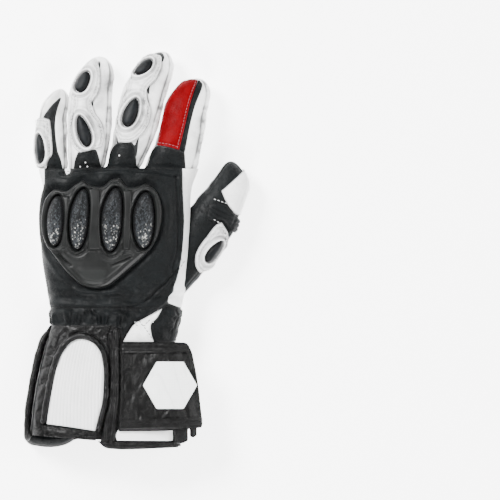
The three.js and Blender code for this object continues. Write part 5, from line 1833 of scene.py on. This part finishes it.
def build_cuff_palm():
    """The cuff's palm side, whose lobe shows past the mouth."""
    shares = np.array(CUFF_PALM, float)
    plan = np.stack([shares[:, 0] * PALM_WIDTH, body.span(shares[:, 1])], -1)
    plan = spaced(smooth_line(plan, True), 0.8, True)
    section, _ = body.section(plan[:, 1])
    share = np.clip((plan[:, 0] - section["centre"]) / section["half"], -1, 1)
    rise = np.maximum(np.abs(share) ** -body.power - 1, 0) ** (1 / body.power)
    angle = np.degrees(np.arctan2(-rise, share)) % 360
    angle = np.where(np.abs(share) >= 1, np.where(share < 0, *CUFF_PALM_SIDE), angle)
    angle = np.clip(angle, *CUFF_PALM_SIDE)
    loop = spaced(np.stack([under_girth(angle), plan[:, 1]], -1), 1.2, True)

    flat, faces, border, edge = cut_sheet(loop, 1.6)
    angle = np.interp(flat[:, 0], under_girth(UNDER_ANGLES), UNDER_ANGLES)
    height = LEATHER * (0.5 + 0.5 * rounded(edge, 1.1))
    outer = body.surface(flat[:, 1], angle, GAP + height)
    inner = body.surface(flat[:, 1], angle, GAP)
    stand_in("cuff_palm_panel", "leather", *two_skins(outer, inner, faces, border), *cuff_black(),
             None, {"rim": on_top(edge)})


def build_lobe():
    """The puffed end of the cuff's palm side, past the mouth."""
    shares = np.array(LOBE, float)
    plan = np.stack([shares[:, 0] * PALM_WIDTH, shares[:, 1] * CUFF_LENGTH], -1)
    loop = spaced(smooth_line(plan, True, 80), 0.8, True)
    flat, faces, border, edge = cut_sheet(loop, 0.9)
    folds = 0.5 * rough(flat * (1, 0.6), 6, 107) - 0.5 * creases(flat, 9, 0.13, 108)
    top = 1.2 + 10.5 * rounded(edge, 6.5) + folds * smoothstep(edge, 0.5, 3)
    points, around = two_skins(np.column_stack([flat, top]),
                               np.column_stack([flat, np.full(len(flat), 0.4)]), faces, border)
    new_piece("palm_lobe_leather", points, [face[::-1] for face in around], *black(), None,
              {"rim": on_top(edge)})


UNDER_ANGLES = np.linspace(180, 360, 721)


def under_girth(angle):
    """Distance around the palm side, counted from the little finger's side."""
    turn = np.radians(UNDER_ANGLES)
    across, up = body._round(turn)
    x, z = across * 52, up * 20
    return np.interp(angle, UNDER_ANGLES, run_along(x, z))


def build_cuff_cloth():
    """Ribbed stretch cloth."""
    arch = trace(body, ARCH, closed=False, corner=80)
    flat, faces, border, edge = cut_sheet(arch, 0.7)
    field = Field(body, flat, edge)
    at, out = on_form(body, flat, GAP + CLOTH - 0.3)
    under = body.surface(field.y, field.angle, GAP)
    material, slot = finish_of("cuff_knit")
    girth = np.tile(field.girth, 2) + 0.35 * np.tile(noise(flat * (1, 0.2), 9, 110), 2)
    piece = new_piece("cuff_rib_panel_cloth", *two_skins(at, under, faces, border), material, None,
                      None, {"girth": girth, "lift": on_top(smoothstep(edge, 0, 1.5))})
    store_outward(piece.data, np.vstack([out, out]))
    size = sizes()
    applied(piece, rib_tree(material), {"Pitch": size.rib_pitch / MM, "Height": size.rib_height})
    settle(piece, slot, "cuff_rib_panel")


FLAP_LOW = GAP + LOOP_PILE + 2 * GAP
FLAP_FACE = FLAP_LOW + LEATHER


def build_closure_flap():
    """Strap that closes the cuff."""
    loop = trace(strap, FLAP, height=FLAP_FACE)
    centre = trace(strap, [EMBLEM_PLACE, (EMBLEM_PLACE[0] + 0.01, EMBLEM_PLACE[1])], closed=False)[0]

    def creased(field):
        away = np.hypot(*(field.flat - centre).T)
        side = smoothstep(centre[0] + 12 - field.girth, 0, 10)
        arcs = 0.7 * np.sin(away / 2.7) * bell(away - 27, 7) * side
        lines = -1.0 * creases(field.flat * (1, 0.33), 10, 0.14, 120)
        lines = lines + 0.6 * rough(field.flat * (1, 0.45), 7, 121)
        return (arcs + lines) * smoothstep(field.edge, 0.5, 4) + stitch_groove(field.edge, 1.9)

    sheet_piece("closure_flap", strap, loop, LEATHER, cuff_black(), low=FLAP_LOW, details=creased)
    LATER["flap"] = loop
    for name, outline, centre_lines in (
            ("flap_top_binding", FLAP_TOP, [(-0.198, -0.2), (-0.238, -0.24)]),
            ("flap_bottom_binding", FLAP_BOTTOM, [(-0.85, -0.822), (-0.89, -0.865)])):
        rolls = [trace(strap, [(0.06, left), (0.6, right)], closed=False)
                 for left, right in centre_lines]

        def rolled(field, rolls=rolls):
            up = [np.sqrt(np.maximum(1 - (field.to(roll) / 1.8) ** 2, 0)) for roll in rolls]
            return 0.85 * np.max(up, axis=0) + 0.15 * noise(field.flat * (1, 0.5), 4, 125) - 0.25

        high = FLAP_FACE + GAP + BINDING
        sheet_piece(name, strap, trace(strap, outline, height=high), BINDING, cuff_black(),
                    low=FLAP_FACE + GAP, step=0.8, details=rolled)
    for name, outline in HOOK_TABS.items():
        sheet_piece(f"hook_tab_{name}", strap, trace(strap, outline, height=FLAP_LOW),
                    FLAP_LOW - 2 * GAP, cuff_black(),
                    details=lambda f: 0.15 * noise(f.flat, 3, 130))


def build_patch():
    """Reflective patch on the strap."""
    across, along = EMBLEM_PLACE
    turn = np.radians(np.arange(0, 360, 60))
    corners = [(across + EMBLEM_WIDTH / 2 * math.cos(t) / PALM_WIDTH,
                along + EMBLEM_WIDTH / 2 * math.sin(t) / CUFF_LENGTH) for t in turn]
    loop = trace(strap, corners, height=FLAP_FACE + 1)
    inner = [(across + (x - across) * 0.8, along + (y - along) * 0.8) for x, y in corners]
    ring_line = trace(strap, inner, height=FLAP_FACE + 1)

    def embossed(field):
        return -0.22 * bell(field.depth(ring_line), 0.6)

    sheet_piece("flap_emblem", strap, loop, EMBLEM_THICKNESS, finish_of("patch_film"), "film",
                FLAP_FACE + GAP, edge_round=0.8, details=embossed, step=0.8)


def whole(loop, inset):
    """A closed line moved inwards, as an open run that meets itself."""
    along = (np.roll(loop, -1, 0) - np.roll(loop, 1, 0)) / 2
    left = np.stack([-along[:, 1], along[:, 0]], -1)
    left /= np.linalg.norm(left, axis=1, keepdims=True) + 1e-9
    turned = inside(loop, (loop + 0.3 * left)[:1])[0]
    moved = loop + left * (inset if turned else -inset)
    keep = depth(loop, moved) > inset * 0.85
    return [run for run in np.split(moved, np.flatnonzero(np.diff(keep.astype(int))) + 1)
            if len(run) > 3 and depth(loop, run[len(run) // 2][None])[0] > inset * 0.85]


def build_stitches():
    """Thread of every seam."""
    armour_rows = []
    for name, form in (("ring_armour", ring), ("middle_armour", middle), ("little_armour", little),
                       ("thumb_armour", thumb)):
        armour_rows += [(form, run, GAP + PADDED - 0.2) for run in whole(LATER[name], 2.1)]
    stitched("armour_stitching", armour_rows, "white_thread", "white_leather", 2.4)

    back_rows = [(body, run[run[:, 1] < BACK_STITCH_END], LAYER - 0.1)
                 for run in whole(LATER["back"], 2.0) if (run[:, 1] < BACK_STITCH_END).sum() > 3]
    for seam in LATER["back_seams"]:
        back_rows += [(body, left_of(seam, shift), LAYER + 0.25) for shift in (-1.5, 1.5)]
    back_rows += [(body, run, LAYER) for run in whole(LATER["tab"], 2.0)]
    stitched("back_stitching", back_rows, "black_thread", "black_leather")

    panel_rows = [(index, run, LAYER - 0.1) for run in whole(LATER["index_panel"], 1.7)]
    stitched("index_stitching", panel_rows, "rose_thread", "red_leather", 2.4)

    strap_rows = [(thumb, trace(thumb, row, closed=False, height=high), high)
                  for row, high in THUMB_STITCHES]
    stitched("thumb_strap_stitching", strap_rows, "white_thread", "black_leather", 2.2)

    zigzag = [(body, trace(body, row, closed=False, corner=30), LAYER) for row in GUSSET_STITCHES]
    stitched("gusset_stitching", zigzag, "black_thread", "white_leather", 2.2)

    cuff_rows = [(body, LATER["seam_middle"], LAYER + 0.1)]
    cuff_rows += [(body, run, LAYER + 0.6) for run in whole(LATER["hem"], 1.7)]
    cuff_rows += [(body, run, LAYER + 0.2) for run in whole(LATER["mouth_binding"], 1.7)]
    cuff_rows += [(strap, run, FLAP_FACE) for run in whole(LATER["flap"], 1.9)]
    stitched("cuff_stitching", cuff_rows, "grey_thread", "black_leather")


def build_stage():
    """Camera, floor and lights."""
    scene = bpy.context.scene
    x = (PHOTO_SIDE / 2 - PHOTO_WRIST[0]) * PHOTO_PIXEL * MM + WRIST.x
    y = (PHOTO_WRIST[1] - PHOTO_SIDE / 2) * PHOTO_PIXEL * MM + WRIST.y
    camera = bpy.data.cameras.new("camera")
    camera.sensor_width = 36
    above = 8.0
    camera.lens = camera.sensor_width * above / (PHOTO_SIDE * PHOTO_PIXEL * MM)
    camera.clip_end = 20
    viewer = placed("camera", camera)
    viewer.location = (x, y, above)
    scene.camera = viewer

    mesh = bpy.data.meshes.new("floor")
    side = 3.0
    mesh.from_pydata([(-side, -side, 0), (side, -side, 0), (side, side, 0), (-side, side, 0)], [],
                     [(0, 1, 2, 3)])
    mesh.materials.append(painted_floor("floor_board", (0.93, 0.93, 0.93)))
    floor = placed("floor", mesh)
    floor.location.z = -0.0002

    for name, place, size, power in (
            ("key_light", (-0.75, 0.75, 1.05), 0.5, 84), ("fill_light", (1.1, 0.1, 0.95), 0.8, 30),
            ("low_light", (-0.1, -1.15, 0.9), 0.5, 40)):
        light = bpy.data.lights.new(name, "AREA")
        light.size, light.energy = size, power
        lamp = placed(name, light)
        lamp.location = place
        lamp.rotation_euler = (-Vector(place)).to_track_quat("-Z", "Y").to_euler()
    world = bpy.data.worlds.new("studio")
    world.use_nodes = True
    back = next(n for n in world.node_tree.nodes if n.type == "BACKGROUND")
    back.inputs["Color"].default_value = (1, 1, 1, 1)
    back.inputs["Strength"].default_value = 0.2
    scene.world = world


# Operators

def step_operator(build):
    """An operator that builds one group of pieces, named and described as its function is."""
    def execute(self, context):
        build()
        return {"FINISHED"}

    name = build.__name__.removeprefix("build_")
    return type(f"GAUNTLET_OT_{name}", (bpy.types.Operator,), {
        "bl_idname": f"gauntlet.{name}", "bl_label": name.replace("_", " ").capitalize(),
        "__doc__": build.__doc__, "bl_options": {"REGISTER", "UNDO"}, "execute": execute})


STEPS = [step_operator(build) for build in (
    build_stage, build_shells, build_hand_panels, build_knuckle_guard, build_knuckle_inserts,
    build_finger_armour, build_finger_panels, build_vents, build_cuff, build_cuff_cloth,
    build_closure_flap, build_patch, build_stitches)]


class GAUNTLET_PT_builder(bpy.types.Panel):
    """Lists the settings and the steps."""

    bl_label = "Gauntlet"
    bl_space_type = "VIEW_3D"
    bl_region_type = "UI"
    bl_category = "Gauntlet"

    def draw(self, context):
        for group in (context.scene.gauntlet_sizes, context.scene.gauntlet_colours):
            for name in group.__annotations__:
                self.layout.prop(group, name)
        for step in STEPS:
            self.layout.operator(step.bl_idname)


CLASSES = [GauntletSizes, GauntletColours, *STEPS, GAUNTLET_PT_builder]


def register():
    for cls in CLASSES:
        bpy.utils.register_class(cls)
    bpy.types.Scene.gauntlet_sizes = PointerProperty(type=GauntletSizes)
    bpy.types.Scene.gauntlet_colours = PointerProperty(type=GauntletColours)


def unregister():
    del bpy.types.Scene.gauntlet_sizes
    del bpy.types.Scene.gauntlet_colours
    for cls in reversed(CLASSES):
        bpy.utils.unregister_class(cls)


def main():
    register()
    for step in STEPS:
        group, name = step.bl_idname.split(".")
        getattr(getattr(bpy.ops, group), name)()


if __name__ == "__main__":
    main()
